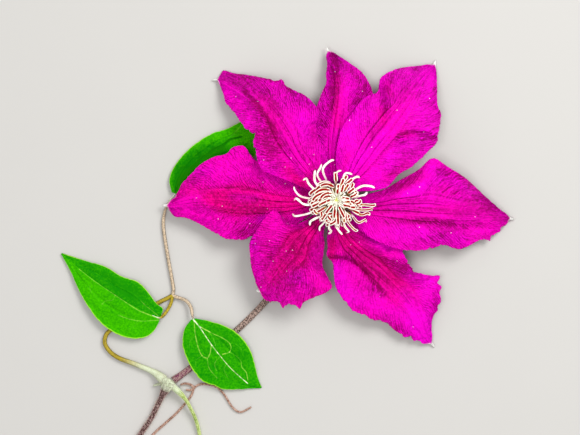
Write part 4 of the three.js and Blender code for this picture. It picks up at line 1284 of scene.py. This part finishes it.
def make_tepal(node, index, settings, underside):
    """One tepal, laid between its margins and over its neighbours."""
    outline = TEPALS[node]
    tip = Vector((*outline["midrib"][-1], 0))
    level = FLOWER_HEIGHT + outline["layer"] * LAYER_STEP
    tip_rise = outline["tip"] - level - dome_height(tip)
    bar_height = settings.bar_height / MM
    wave_height = settings.wave_height / MM
    pucker_height = settings.pucker_height / MM
    notch_depth = settings.notch_depth / MM
    painted_shading = Strokes(outline["painted_shading"])
    warmths = Strokes(outline["warmths"])
    creases = Strokes(outline["creases"])

    def narrowed(along, side):
        slow = abs(noise.noise(Vector((along * 26, side * 7.3, index * 5.1))))
        quick = abs(noise.noise(Vector((along * 60, side * 4.7, index * 2.9))))
        patchy = smooth_step(noise.noise(Vector((along * 5, side * 3.7, index * 8.3))), -0.35, 0.25)
        free = smooth_step(along, 0.3, 0.5) * (1 - smooth_step(along, 0.93, 0.95))
        teeth = outline["teeth"][0 if side < 0 else 1]
        return notch_depth * teeth * free * ((0.2 + 0.8 * patchy) * (1.2 * slow + 1.7 * quick) - 0.15)

    def height_at(point, along, across):
        out = abs(across)
        height = level + dome_height(point) + tip_rise * smooth_step(along, 0.5, 1)
        bars = max(math.exp(-(((across - c) / BAR_HALF_WIDTH) ** 2)) for c in BARS)
        height += bar_height * bars * math.sin(math.pi * along)
        free = smooth_step(along, 0.5, 0.75) * (1 - along)
        wave = math.sin(2 * math.pi * (3.2 * along + 0.37 * index) - across)
        height += 4 * wave_height * free * wave * out * out
        ray = along - CREASE_SLANT * out
        seed = index * 3.7 + (2 if across > 0 else 0)
        puckers = noise.noise(Vector((ray * 34, out * 2.5, seed)))
        ripples = noise.noise(Vector((ray * 11, out * 1.8, seed + 9)))
        puckered = smooth_step(out, 0.25, 0.55) * smooth_step(along, 0.02, 0.3)
        height += puckered * (pucker_height * puckers + 2.2 * pucker_height * ripples)
        return height + creases.at(point) * smooth_step(along, 0.1, 0.35)

    bm = make_sheet(*TEPAL_GRID)
    alongs = [(vert.co.y + 1) / 2 for vert in bm.verts]
    lay_blade(bm, outline, narrowed, height_at, settings.point_radius / MM)
    # Painted shade and painted light from the strokes, kept on the points with the warmth and the white tip.
    painted_shading_amount = bm.verts.layers.float.new("painted_shading_amount")
    warmth = bm.verts.layers.float.new("warmth")
    whiteness = bm.verts.layers.float.new("tip")
    for vert, along in zip(bm.verts, alongs):
        vert[painted_shading_amount] = max(-1.0, min(1.0, painted_shading.at(vert.co)))
        vert[warmth] = max(-1.0, min(1.0, warmths.at(vert.co)))
        vert[whiteness] = smooth_step(along, POINT_START - 0.006, POINT_START + 0.004)
    front = tepal_material(node + " front", 4.3 * index + 1, outline, settings)
    piece = make_piece(bm, node, [front, underside])
    solidify(piece, settings.thickness)


class CLEMATIS_OT_tepals(bpy.types.Operator):
    """Make the seven tepals"""

    bl_idname = "clematis.tepals"
    bl_label = "Tepals"

    def execute(self, context):
        settings = context.scene.clematis_tepals
        underside = tepal_underside_material(settings)
        for index, node in enumerate(TEPALS):
            make_tepal(node, index, settings, underside)
        return {"FINISHED"}


def anther_material(settings):
    """Cream rims either side of a red line, on a pink thread that turns gold lower down and is painted
    dark at its foot, as painted shade among the stamens.
    """
    board = NodeBoard("anther", 0.6, 0.12)
    across, along = board.uv()
    out = board.absolute(board.swing(across, 2.0))
    speckle = board.noise(board.object_point(), 900.0, 2.0)
    patches = board.noise(board.object_point(), 420.0, 2.0)
    line = board.step(board.plus(out, board.swing(speckle, 0.2)), 0.58, 0.5)
    opened = board.times(board.step(along, 0.36, 0.42), board.step(along, 0.97, 0.93))
    red = board.mix(board.step(patches, 0.58, 0.66), settings.red, settings.gold)
    rims = board.mix(board.step(patches, 0.66, 0.8), settings.cream, settings.pink)
    golden = board.step(board.noise(board.object_point(), 300.0, 1.0), 0.58, 0.66)
    golden = board.times(golden, board.step(along, 0.8, 0.5))
    rims = board.mix(board.times(golden, 0.75), rims, settings.gold)
    strap = board.mix(board.times(line, opened), rims, red)
    # Lower down a thread turns gold, and at its foot it takes the dark colour as painted shade among the
    # stamens.
    thread = board.mix(board.step(along, 0.34, 0.26), settings.pink, settings.gold)
    thread = board.mix(board.step(along, 0.22, 0.08), thread, settings.painted_depth_shade)
    board.colour(board.mix(board.step(along, 0.42, 0.34), strap, thread))
    board.bump(speckle, 0.3, 0.0002)
    return board.material


def outer_stamen_material(settings):
    """A spent outer stamen: cream with broken tan and pink patches."""
    board = NodeBoard("outer stamen", 0.5, 0.3)
    across, along = board.uv()
    out = board.absolute(board.swing(across, 2.0))
    patches = board.noise(board.object_point(), 420.0, 2.0)
    line = board.times(board.step(out, 0.45, 0.2), board.step(patches, 0.46, 0.56))
    brown = board.mix(0.4, settings.gold, settings.red)
    strap = board.mix(board.times(line, 0.7), settings.cream, brown)
    board.colour(board.mix(board.step(along, 0.55, 0.2), strap, settings.pink))
    board.bump(patches, 0.3, 0.0002)
    return board.material


def disc_material(settings):
    """The disc between the threads, painted dark as painted shade among the stamens, with patches of gold."""
    board = NodeBoard("disc", 0.7, 0.2)
    patches = board.noise(board.object_point(), 600.0, 2.0)
    board.colour(board.mix(board.step(patches, 0.35, 0.7), settings.painted_depth_shade, settings.gold))
    board.bump(patches, 0.4, 0.0003)
    return board.material


def polar(distance, angle, height):
    """A place round the flower's axis, from a radius, an angle in degrees and a height."""
    turn = math.radians(angle)
    return Vector((distance * math.cos(turn), distance * math.sin(turn), height + FLOWER_HEIGHT))


def heading(angle):
    """The level direction at an angle in degrees."""
    return Vector((math.cos(math.radians(angle)), math.sin(math.radians(angle)), 0))


def add_stamen(bm, points, half_width, material_index, thread):
    """One stamen through the points: a thread up to that share of its length, then a flat strap."""
    point_at = smooth_curve(points)
    chord = points[-1] - points[-3]
    sideways = (chord.y, -chord.x, 0)

    def section(share):
        opened = smooth_step(share, thread - 0.06, thread + 0.05)
        rounded = math.sqrt(max(0.0, 1 - max(0.0, (share - 0.94) / 0.06) ** 2))
        uneven = 1 + 0.22 * noise.noise(points[0] + Vector((7 * share, 0, 0)))
        width = (0.24 + (half_width * uneven - 0.24) * opened) * max(0.3, rounded)
        return width, max(0.13, 0.26 * width)

    bend_rod(bm, point_at, section, 8, 24, sideways, material_index=material_index, strap=True)


def swirl(angle):
    """How far an anther at this place round the flower is turned from pointing straight outwards."""
    return 88 * smooth_step(angle, 92, 104) * (1 - smooth_step(angle, 105, 215))


def add_inner_stamen(bm, angle, whorl, half_width, draw):
    """An anther that starts over its thread and runs outwards, with its end curled down or aside."""
    start, length, top = whorl
    messy = max(0.0, math.cos(math.radians(angle - 10)))
    loose = 7 + 42 * messy
    start += draw.uniform(-0.5, 0.5) * (1 + messy)
    length *= draw.uniform(0.85, 1.1) * (1 + 0.004 * swirl(angle)) * (1 - 0.4 * messy)
    top += draw.uniform(-0.4, 0.4)
    turned = angle + draw.uniform(-loose, loose)
    bend = swirl(angle)
    inner = polar(start, angle, top)
    middle = inner + heading(turned + 0.7 * bend) * 0.45 * length + Vector((0, 0, 0.3))
    outer = middle + heading(turned + 1.1 * bend) * 0.35 * length - Vector((0, 0, 0.4))
    curl = turned + 1.5 * bend + draw.uniform(-2.5, 2.5) * loose
    end = outer + heading(curl) * 0.2 * length - Vector((0, 0, 0.5))
    foot = polar(min(RECEPTACLE_RADIUS - 0.5, max(3.4, start)), angle, DISC_TOP - 0.5)
    thread = (inner - foot).length / ((inner - foot).length + length)
    add_stamen(bm, [foot, foot.lerp(inner, 0.5), inner, middle, outer, end], half_width, 0, thread)


def add_outer_stamen(bm, root_angle, tip_angle, reach, half_width, draw):
    """A long outer stamen that arches over a tepal and ends in a small hook."""
    rise = 6 + draw.uniform(-0.4, 0.8)
    points = [
        polar(4.6, root_angle, DISC_TOP - 0.6),
        polar(4.6 + 0.35 * (reach - 4.6), root_angle, rise - 0.5),
        polar(4.6 + 0.72 * (reach - 4.6), root_angle + 0.3 * (tip_angle - root_angle), rise),
        polar(reach - 0.8, root_angle + 0.85 * (tip_angle - root_angle), rise - 0.6),
    ]
    for knot in points[1:4]:
        knot += Vector((draw.uniform(-0.6, 0.6), draw.uniform(-0.6, 0.6), 0))
    hook = heading(tip_angle + draw.choice((-1, 1)) * draw.uniform(30, 95))
    points.append(points[-1] + hook * draw.uniform(0.8, 1.5) - Vector((0, 0, 0.5)))
    red = 285 < root_angle < 365
    add_stamen(bm, points, half_width * draw.uniform(0.85, 1.1) * (1.45 if red else 1), 0 if red else 1, 0.3)


def add_loose_stamen(bm, half_width, draw):
    """A short stamen that lies any way among the others, below and right of the middle."""
    angle = draw.uniform(215, 390)
    inner = polar(draw.uniform(4.6, 9.6), angle, draw.uniform(7.4, 8.6))
    turned = angle + draw.uniform(-75, 75)
    middle = inner + heading(turned) * draw.uniform(0.9, 1.4)
    end = middle + heading(turned + draw.uniform(-60, 60)) * draw.uniform(0.8, 1.3)
    end -= Vector((0, 0, 0.5))
    foot = polar(RECEPTACLE_RADIUS - 0.6, angle, DISC_TOP - 0.5)
    add_stamen(bm, [foot, foot.lerp(inner, 0.5), inner, middle, end], half_width, 0, 0.42)


class CLEMATIS_OT_stamens(bpy.types.Operator):
    """Make the stamens on their disc"""

    bl_idname = "clematis.stamens"
    bl_label = "Stamens"

    def execute(self, context):
        settings = context.scene.clematis_centre
        draw = random.Random(STAMEN_SEED)
        bm = new_mesh()
        ring = [
            (DISC_INNER, DISC_BOTTOM), (RECEPTACLE_RADIUS, DISC_BOTTOM), (RECEPTACLE_RADIUS, DISC_TOP - 0.3),
            (RECEPTACLE_RADIUS - 0.4, DISC_TOP), (DISC_INNER, DISC_TOP), (DISC_INNER, DISC_BOTTOM),
        ]
        spin_profile(bm, ring, ROUND_STEPS, 2)
        half_width = settings.anther_width / MM / 2
        for root_angle, tip_angle, reach in OUTER_STAMENS:
            add_outer_stamen(bm, root_angle, tip_angle, reach, 0.5 * half_width, draw)
        for number, (start, length, top, count) in enumerate(INNER_WHORLS):
            for i in range(count):
                angle = (360 * (i + 0.37 * number + draw.uniform(-0.3, 0.3)) / count) % 360
                add_inner_stamen(bm, angle, (start, length, top), half_width, draw)
        for _ in range(LOOSE_STAMENS):
            add_loose_stamen(bm, 0.85 * half_width, draw)
        materials = [anther_material(settings), outer_stamen_material(settings), disc_material(settings)]
        for edge in bm.edges:
            if edge.is_manifold and edge.calc_face_angle() > STRAP_CORNER:
                edge.smooth = False
        make_piece(bm, "stamens", materials)
        return {"FINISHED"}


def style_material(settings):
    """Silky cream styles, yellow-green at their heart."""
    board = NodeBoard("style", 0.45, 0.35)
    _, along = board.uv()
    streaks = board.noise(board.object_point(), 1200.0, 2.0)
    golden = board.times(board.step(streaks, 0.5, 0.7), 0.4)
    tip = board.mix(golden, settings.style, settings.gold)
    board.colour(board.mix(board.step(along, 0.4, 0.1), tip, settings.style_heart))
    board.bump(streaks, 0.2, 0.0001)
    return board.material


class CLEMATIS_OT_pistils(bpy.types.Operator):
    """Make the core with its tuft of styles"""

    bl_idname = "clematis.pistils"
    bl_label = "Pistils"

    def execute(self, context):
        settings = context.scene.clematis_centre
        draw = random.Random(STYLE_SEED)
        bm = new_mesh()
        profile = [
            (0, DISC_BOTTOM), (CORE_RADIUS, DISC_BOTTOM), (CORE_RADIUS, DISC_TOP),
            (0.86 * CORE_RADIUS, CORE_TOP), (0.6 * CORE_RADIUS, CORE_TOP + 1.6), (0, CORE_TOP + 2.4),
        ]
        spin_profile(bm, profile, CORE_STEPS)
        golden_angle = math.degrees(math.pi * (3 - math.sqrt(5)))
        for i in range(settings.style_count):
            share = (i + 0.5) / settings.style_count
            radius = 0.3 + 1.9 * math.sqrt(share)
            angle = i * golden_angle
            height = 11.4 - 0.6 * radius + draw.uniform(-0.5, 0.4)
            lean = draw.uniform(0.8, 1.8) + 0.9 * radius * draw.random()
            points = [
                polar(0.75 * radius, angle, CORE_TOP - 1.6), polar(radius, angle, 0.5 * (CORE_TOP + height)),
                polar(radius + lean, angle + draw.uniform(-25, 25), height),
            ]
            width = draw.uniform(0.24, 0.34)
            bend_rod(
                bm, smooth_curve(points), lambda s: (width * (1.1 - 0.5 * s), width * (1.1 - 0.5 * s)), 6, 8,
                heading(angle + 90),
            )
        make_piece(bm, "pistils", [style_material(settings)])
        return {"FINISHED"}


def leaflet_material(name, shade, half, settings):
    """Green with the pale and dark veins painted on the blade, painted shade from the broad dark strokes and
    over one half, and a fine net between them.
    """
    board = NodeBoard(name, 0.45, 0.25, (0.35, 1.0, 0.0))
    across, _ = board.uv()
    side = board.swing(across, 2.0)
    vein = board.attribute("vein")
    net = board.step(board.cells(board.object_point(), 620.0, "DISTANCE_TO_EDGE"), 0.09, 0.0)
    grain = board.noise(board.object_point(), 1300.0, 3.0, 0.6)
    blotches = board.noise(board.object_point(), 70.0, 3.0)
    broken = board.step(board.noise(board.object_point(), 800.0, 2.0), 0.38, 0.54)
    thinned = board.larger(board.scale(vein, 1.15, -0.08), 0.0)
    pale = board.times(thinned, board.scale(broken, 0.6, 0.4))
    # Below nought the strokes are dark veins or, where broad, painted shade, which darkens the green towards
    # the shadow colour. The step on the side paints shade over the right half.
    sunk = board.larger(board.times(vein, -1.0), 0.0)
    darker = board.total(
        board.scale(blotches, 0.8, board.scale(grain, 2.0, -1.2)),
        board.times(board.step(side, -0.02, 0.04), half),
        board.scale(net, 0.15, shade),
        sunk,
    )
    green = board.mix(darker, settings.light, settings.dark)
    green = board.mix(board.times(sunk, 0.5), green, settings.shadow)
    line = board.mix(board.step(vein, 0.55, 0.9), settings.fine_vein, settings.vein)
    green = board.mix(pale, green, line)
    rim = board.step(board.absolute(side), 0.955, 0.98)
    board.colour(board.mix(board.times(rim, 0.7), green, settings.rim))
    relief = board.larger(board.absolute(vein), board.times(net, 0.3))
    board.bump(board.scale(relief, -0.8, board.times(grain, 0.5)), 0.6, 0.0004)
    return board.material


def leaflet_underside_material(settings):
    """The paler back of a leaflet."""
    board = NodeBoard("leaflet underside", 0.6, 0.3)
    grain = board.noise(board.object_point(), 400.0, 3.0)
    board.colour(board.mix(grain, settings.underside, settings.dark))
    board.bump(grain, 0.4, 0.0003)
    return board.material


def make_leaflet(node, index, settings, underside):
    """One leaflet, laid between its margins with its veins sunk."""
    outline = LEAFLETS[node]
    midrib = smooth_curve(outline["midrib"])
    margins = {-1: smooth_curve(outline["left"]), 1: smooth_curve(outline["right"])}
    vein_depth = settings.vein_depth / MM
    half_thickness = 0.5 * settings.thickness / MM
    veins = Strokes(outline["veins"], curved=True)
    heights = {}

    def narrowed(along, side):
        free = smooth_step(along, 0.06, 0.2) * (1 - smooth_step(along, 0.9, 0.97))
        return 0.35 * free * max(0.0, noise.noise(Vector((along * 30, side * 3.1, index * 4.4))))

    def height_at(point, along, across):
        key = round(along, 5)
        if key not in heights:
            heights[key] = (midrib(along).z, margins[-1](along).z, margins[1](along).z)
        middle, left, right = heights[key]
        margin = right if across > 0 else left
        out = abs(across)
        height = middle + (margin - middle) * out
        sunk = max(math.exp(-(((out - c) / 0.05) ** 2)) for c in (0, 0.33 + 0.12 * along))
        height -= vein_depth * sunk * math.sin(math.pi * min(1, along * 1.1))
        swell = noise.noise(Vector((along * 9, across * 3, index * 6.6)))
        height += 0.45 * swell * smooth_step(out, 0, 0.3)
        return max(height, half_thickness)

    bm = make_sheet(*LEAFLET_GRID)
    lay_blade(bm, outline, narrowed, height_at)
    # The vein strokes on the points: pale veins, dark veins and broad painted shade.
    vein = bm.verts.layers.float.new("vein")
    for vert in bm.verts:
        vert[vein] = max(-1.0, min(1.0, veins.at(vert.co)))
    front = leaflet_material(node + " front", outline["shade"], outline["half"], settings)
    piece = make_piece(bm, node, [front, underside])
    solidify(piece, settings.thickness)


class CLEMATIS_OT_leaflets(bpy.types.Operator):
    """Make the three leaflets"""

    bl_idname = "clematis.leaflets"
    bl_label = "Leaflets"

    def execute(self, context):
        settings = context.scene.clematis_leaf
        underside = leaflet_underside_material(settings)
        for index, node in enumerate(LEAFLETS):
            make_leaflet(node, index, settings, underside)
        return {"FINISHED"}


def stem_material(name, light, dark, speckle=0.5, ends=(), painted_side_light=0.0, depth=0.0):
    """Lengthwise streaks and speckles of two colours. ends lists other colours, each with the shares of
    the length where it starts to show and where it is full, and with how much more of it shows in the
    dark speckles. The sides are lightened by the given amount as a painted highlight, or darkened as
    painted shade where it is below nought, and depth darkens it all."""
    board = NodeBoard(name, 0.6, 0.3)
    across, along = board.uv()
    streaks = board.noise(board.vector(board.times(across, 7.0), board.times(along, 16.0)), 1.0, 3.0)
    patches = board.noise(board.object_point(), 260.0, 3.0)
    speckles = board.noise(board.object_point(), 1900.0, 2.0, 0.6)
    # The two sides of the stem as seen from above, which take the painted highlight or painted shade.
    sides = board.step(board.absolute(board.swing(across, 2.0)), 0.6, 0.95)
    darker = board.total(
        board.scale(board.step(streaks, 0.35, 0.65), 0.5, depth),
        board.times(board.step(patches, 0.5, 0.75), 0.2),
        board.swing(board.step(speckles, 0.36, 0.64), 2 * speckle),
        board.times(sides, -painted_side_light),
    )
    base = board.mix(darker, light, dark)
    for colour, low, high, fleck in ends:
        flecked = board.scale(darker, fleck, min(1.0, 1.0 - fleck))
        base = board.mix(board.times(board.step(along, low, high), flecked), base, colour)
    board.colour(base)
    board.bump(board.plus(board.times(streaks, 0.5), board.times(speckles, 0.5)), 0.6, 0.0004)
    return board.material


def hair_material(settings):
    """Silvery hairs."""
    board = NodeBoard("hair", 0.6, 0.3)
    tint = board.noise(board.object_point(), 500.0, 1.0)
    board.colour(board.mix(tint, settings.hair, settings.leaf_stalk_pale))
    return board.material


class CLEMATIS_OT_flower_stalk(bpy.types.Operator):
    """Make the flower's stalk with its receptacle"""

    bl_idname = "clematis.flower_stalk"
    bl_label = "Flower stalk"

    def execute(self, context):
        settings = context.scene.clematis_stems
        draw = random.Random(FLOWER_STALK_SEED)
        bm = new_mesh()
        profile = [
            (0, RECEPTACLE_BOTTOM), (1.6, RECEPTACLE_BOTTOM), (3.4, -3.4), (4.7, -2.9),
            (RECEPTACLE_RADIUS, -2.2), (RECEPTACLE_RADIUS, RECEPTACLE_TOP - 0.4),
            (RECEPTACLE_RADIUS - 0.4, RECEPTACLE_TOP), (0, RECEPTACLE_TOP),
        ]
        spin_profile(bm, profile, ROUND_STEPS, 1)
        radius = FLOWER_STALK_RADIUS

        def radius_at(share):
            flare = 0.2 * (1 - smooth_step(share, 0, 0.05)) + 0.15 * smooth_step(share, 0.9, 1)
            return radius * (1 + flare)

        add_stalk(bm, FLOWER_STALK_ROUTE, radius_at, 14, 90)
        roots = hair_roots_on_rod(smooth_curve(FLOWER_STALK_ROUTE), radius, FLOWER_STALK_HAIRS, draw, 0.5)
        add_hairs(bm, roots, 0.5 * settings.hair_length / MM, 0.05, 2)
        brown = stem_material(
            "flower stalk", settings.flower_stalk, settings.flower_stalk_dark, 0.8,
            ends=[(settings.stalk_start, 0.26, 0.14, 0.75)], depth=0.1,
        )
        green = stem_material("receptacle", settings.opposite, settings.flower_stalk)
        make_piece(bm, "flower_stalk", [brown, green, hair_material(settings)])
        return {"FINISHED"}


def add_node_lump(bm, draw):
    """Adds the swollen node, and gives the places and directions of the hairs on it."""
    centre = Vector((*NODE_CENTRE, 0.9 * NODE_RADIUS))
    shape = Matrix.Rotation(NODE_TURN, 4, "Z") @ Matrix.Diagonal(NODE_SHAPE)
    place = Matrix.Translation(centre) @ shape
    made = bmesh.ops.create_icosphere(bm, subdivisions=4, radius=0.78 * NODE_RADIUS, matrix=place)
    roots = []
    for vert in made["verts"]:
        outwards = (vert.co - centre).normalized()
        vert.co += outwards * 0.25 * noise.noise(vert.co * 0.9)
        vert.co.z = max(0.0, vert.co.z)
        if outwards.z > -0.1 and draw.random() < HAIRY_SHARE_OF_NODE:
            scatter = Vector([draw.uniform(-1, 1) for _ in range(3)])
            roots.append((vert.co.copy(), (outwards + 0.7 * scatter).normalized()))
    for face in bm.faces:
        face.material_index = 1
    return roots


class CLEMATIS_OT_main_stem(bpy.types.Operator):
    """Make the main stem with its swollen, hairy node"""

    bl_idname = "clematis.main_stem"
    bl_label = "Main stem"

    def execute(self, context):
        settings = context.scene.clematis_stems
        draw = random.Random(MAIN_STEM_SEED)
        bm = new_mesh()
        roots = add_node_lump(bm, draw)
        point_at = smooth_curve(MAIN_STEM_ROUTE)
        radius = MAIN_STEM_RADIUS

        def section_at(share):
            half_width = radius * (1.8 - 0.9 * smooth_step(share, 0, 0.14))
            return half_width, radius * (1.9 - 0.9 * smooth_step(share, 0, 0.2))

        bend_rod(bm, point_at, section_at, 14, 50, underside=True)
        bract = smooth_curve(BRACT_ROUTE)
        bend_rod(bm, bract, lambda s: (1.1 - 0.8 * s, 0.4 - 0.2 * s), 8, 10, material_index=1)
        length = settings.hair_length / MM
        add_hairs(bm, roots, 1.3 * length, 0.05, 2)
        roots = hair_roots_on_rod(point_at, radius, MAIN_STEM_HAIRS, draw, 0.3)
        add_hairs(bm, roots, 0.7 * length, 0.06, 2)
        brown = stem_material(
            "main stem", settings.main_stem, settings.main_stem_dark, 0.5,
            ends=[(settings.node, 0.06, 0.02, -0.5)], painted_side_light=0.9, depth=0.65,
        )
        green = stem_material("node", settings.node, settings.node_dark, 0.25, depth=-0.05)
        make_piece(bm, "main_stem", [brown, green, hair_material(settings)])
        return {"FINISHED"}


def make_leaf_stalk(settings, vein):
    """The leaf's stalk with its three branches, which end in the colour of the leaflets' veins."""
    bm = new_mesh()

    def radius_at(share):
        flare = 2.0 - 0.9 * smooth_step(share, 0, 0.12) - 0.25 * smooth_step(share, 0.1, 0.4)
        return LEAF_STALK_RADIUS * flare

    def branch_radius_at(share):
        return LEAFLET_STALK_RADIUS * (1 - 0.78 * smooth_step(share, 0.6, 0.95))

    add_stalk(bm, LEAF_STALK_ROUTE, radius_at, 12, 90)
    for number, route in enumerate(LEAFLET_STALK_ROUTES):
        add_stalk(bm, route, branch_radius_at, 10, 10 * len(route), 1 if number else 2)
    green = stem_material(
        "leaf stalk", settings.leaf_stalk, settings.leaf_stalk_dark, 0.25,
        ends=[(settings.node, 0.32, 0.12, -0.4)], painted_side_light=-0.7,
    )
    pale = stem_material(
        "leaflet stalk", settings.leaf_stalk_pale, settings.flower_stalk_dark, 0.4,
        ends=[(vein, 0.75, 0.95, -0.5)], painted_side_light=-0.7, depth=-0.2,
    )
    olive = stem_material(
        "leaflet stalk, olive", settings.leaf_stalk, settings.leaf_stalk_dark, 0.4,
        ends=[(vein, 0.72, 0.9, -0.5)], painted_side_light=-0.6,
    )
    make_piece(bm, "leaf_stalk", [green, pale, olive])


def make_opposite_leaf_stalk(settings):
    """The stalk on the other side of the node, which widens into it."""
    bm = new_mesh()
    radius = OPPOSITE_STALK_RADIUS

    def section_at(share):
        half_width = radius * (1.55 - 0.75 * smooth_step(share, 0.08, 0.36))
        return half_width, radius * (2.1 - 1.0 * smooth_step(share, 0.1, 0.34))

    bend_rod(bm, smooth_curve(OPPOSITE_STALK_ROUTE), section_at, 12, 50, underside=True)
    green = stem_material(
        "opposite leaf stalk", settings.opposite, settings.opposite_dark, 0.2,
        ends=[(settings.node, 0.26, 0.12, -0.4)], painted_side_light=0.6, depth=0.3,
    )
    make_piece(bm, "opposite_leaf_stalk", [green])


class CLEMATIS_OT_leaf_stalks(bpy.types.Operator):
    """Make the leaf's stalk with its branches, and the opposite leaf's stalk"""

    bl_idname = "clematis.leaf_stalks"
    bl_label = "Leaf stalks"

    def execute(self, context):
        settings = context.scene.clematis_stems
        make_leaf_stalk(settings, context.scene.clematis_leaf.vein)
        make_opposite_leaf_stalk(settings)
        return {"FINISHED"}


class CLEMATIS_OT_tendril(bpy.types.Operator):
    """Make the brown tendril with its curls"""

    bl_idname = "clematis.tendril"
    bl_label = "Tendril"

    def execute(self, context):
        settings = context.scene.clematis_stems
        bm = new_mesh()
        for route in TENDRIL_ROUTES:
            add_stalk(bm, route, lambda s: TENDRIL_RADIUS * (1 - 0.3 * s), 10, 9 * len(route))
        brown = stem_material(
            "tendril", settings.tendril, settings.tendril_dark, 0.35, painted_side_light=0.5, depth=0.25
        )
        make_piece(bm, "tendril", [brown])
        return {"FINISHED"}


def add_light(name, place, power):
    """A round soft lamp that looks at the middle of the flower from a place counted from it."""
    location = MIDDLE + Vector(place)
    light = bpy.data.lights.new(name, "AREA")
    light.shape = "DISK"
    light.size = LAMP_SIZE
    light.energy = power
    lamp = bpy.data.objects.new(name, light)
    lamp.location = location
    lamp.rotation_euler = (MIDDLE - location).to_track_quat("-Z", "Y").to_euler()
    bpy.context.scene.collection.objects.link(lamp)


def add_floor(colour):
    """The wide plain floor, a hair below the flower."""
    bm = bmesh.new()
    bmesh.ops.create_grid(bm, x_segments=2, y_segments=2, size=FLOOR_SIZE)
    mesh = bpy.data.meshes.new("floor")
    bm.to_mesh(mesh)
    bm.free()
    board = NodeBoard("floor", 0.8, 0.2)
    grain = board.noise(board.object_point(), 30.0, 3.0)
    board.colour(board.mix(board.times(grain, 0.3), colour, [0.93 * share for share in colour]))
    mesh.materials.append(board.material)
    floor = bpy.data.objects.new("floor", mesh)
    floor.location.z = -FLOOR_GAP
    bpy.context.scene.collection.objects.link(floor)


def set_sky(scene, strength):
    """Even white light from all round, and the camera's colours as they are."""
    world = bpy.data.worlds.new("studio")
    scene.world = world
    world.use_nodes = True
    backdrop = world.node_tree.nodes["Background"]
    backdrop.inputs["Color"].default_value = (1, 1, 1, 1)
    backdrop.inputs["Strength"].default_value = strength
    scene.view_settings.view_transform = "Standard"


def add_camera(scene, lens):
    """A camera straight above, so that the flower fills the picture as in the photograph."""
    camera = bpy.data.cameras.new("camera")
    camera.lens = lens
    camera.sensor_width = 36
    camera.clip_end = 20
    eye = bpy.data.objects.new("camera", camera)
    width = IMAGE_SIZE[0] * MM_PER_PIXEL * MM
    distance = width * camera.lens / camera.sensor_width
    aside = (IMAGE_SIZE[0] / 2 - FLOWER_PIXEL[0]) * MM_PER_PIXEL * MM
    ahead = (FLOWER_PIXEL[1] - IMAGE_SIZE[1] / 2) * MM_PER_PIXEL * MM
    eye.location = MIDDLE + Vector((aside, ahead, distance + 0.5 * FLOWER_HEIGHT * MM))
    scene.collection.objects.link(eye)
    scene.camera = eye


class CLEMATIS_OT_stage(bpy.types.Operator):
    """Make the floor, the light and the camera"""

    bl_idname = "clematis.stage"
    bl_label = "Stage"

    def execute(self, context):
        settings = context.scene.clematis_stage
        add_floor(settings.floor)
        add_light("key light", KEY_LIGHT_PLACE, settings.key_power)
        add_light("fill light", FILL_LIGHT_PLACE, settings.fill_power)
        set_sky(context.scene, settings.sky)
        add_camera(context.scene, settings.lens)
        return {"FINISHED"}


MAKERS = [
    CLEMATIS_OT_tepals,
    CLEMATIS_OT_stamens,
    CLEMATIS_OT_pistils,
    CLEMATIS_OT_flower_stalk,
    CLEMATIS_OT_main_stem,
    CLEMATIS_OT_leaf_stalks,
    CLEMATIS_OT_leaflets,
    CLEMATIS_OT_tendril,
    CLEMATIS_OT_stage,
]
SETTINGS = {
    "clematis_tepals": TepalSettings,
    "clematis_centre": CentreSettings,
    "clematis_leaf": LeafSettings,
    "clematis_stems": StemSettings,
    "clematis_stage": StageSettings,
}


class CLEMATIS_PT_panel(bpy.types.Panel):
    """Lists the pieces and their settings"""

    bl_label = "Clematis"
    bl_idname = "CLEMATIS_PT_panel"
    bl_space_type = "VIEW_3D"
    bl_region_type = "UI"
    bl_category = "Clematis"

    def draw(self, context):
        for maker in MAKERS:
            self.layout.operator(maker.bl_idname)
        for name in SETTINGS:
            box = self.layout.box()
            group = getattr(context.scene, name)
            for key in group.bl_rna.properties.keys():
                if key not in ("rna_type", "name"):
                    box.prop(group, key)


def register():
    """Registers the settings, the operators and the panel."""
    for group in SETTINGS.values():
        bpy.utils.register_class(group)
    for name, group in SETTINGS.items():
        setattr(bpy.types.Scene, name, bpy.props.PointerProperty(type=group))
    for maker in MAKERS:
        bpy.utils.register_class(maker)
    bpy.utils.register_class(CLEMATIS_PT_panel)


def unregister():
    """Takes away what register added."""
    bpy.utils.unregister_class(CLEMATIS_PT_panel)
    for maker in reversed(MAKERS):
        bpy.utils.unregister_class(maker)
    for name in SETTINGS:
        delattr(bpy.types.Scene, name)
    for group in reversed(SETTINGS.values()):
        bpy.utils.unregister_class(group)


def main():
    """Builds the flower, its stage and its camera."""
    register()
    for maker in MAKERS:
        group, action = maker.bl_idname.split(".")
        getattr(getattr(bpy.ops, group), action)()


if __name__ == "__main__":
    main()
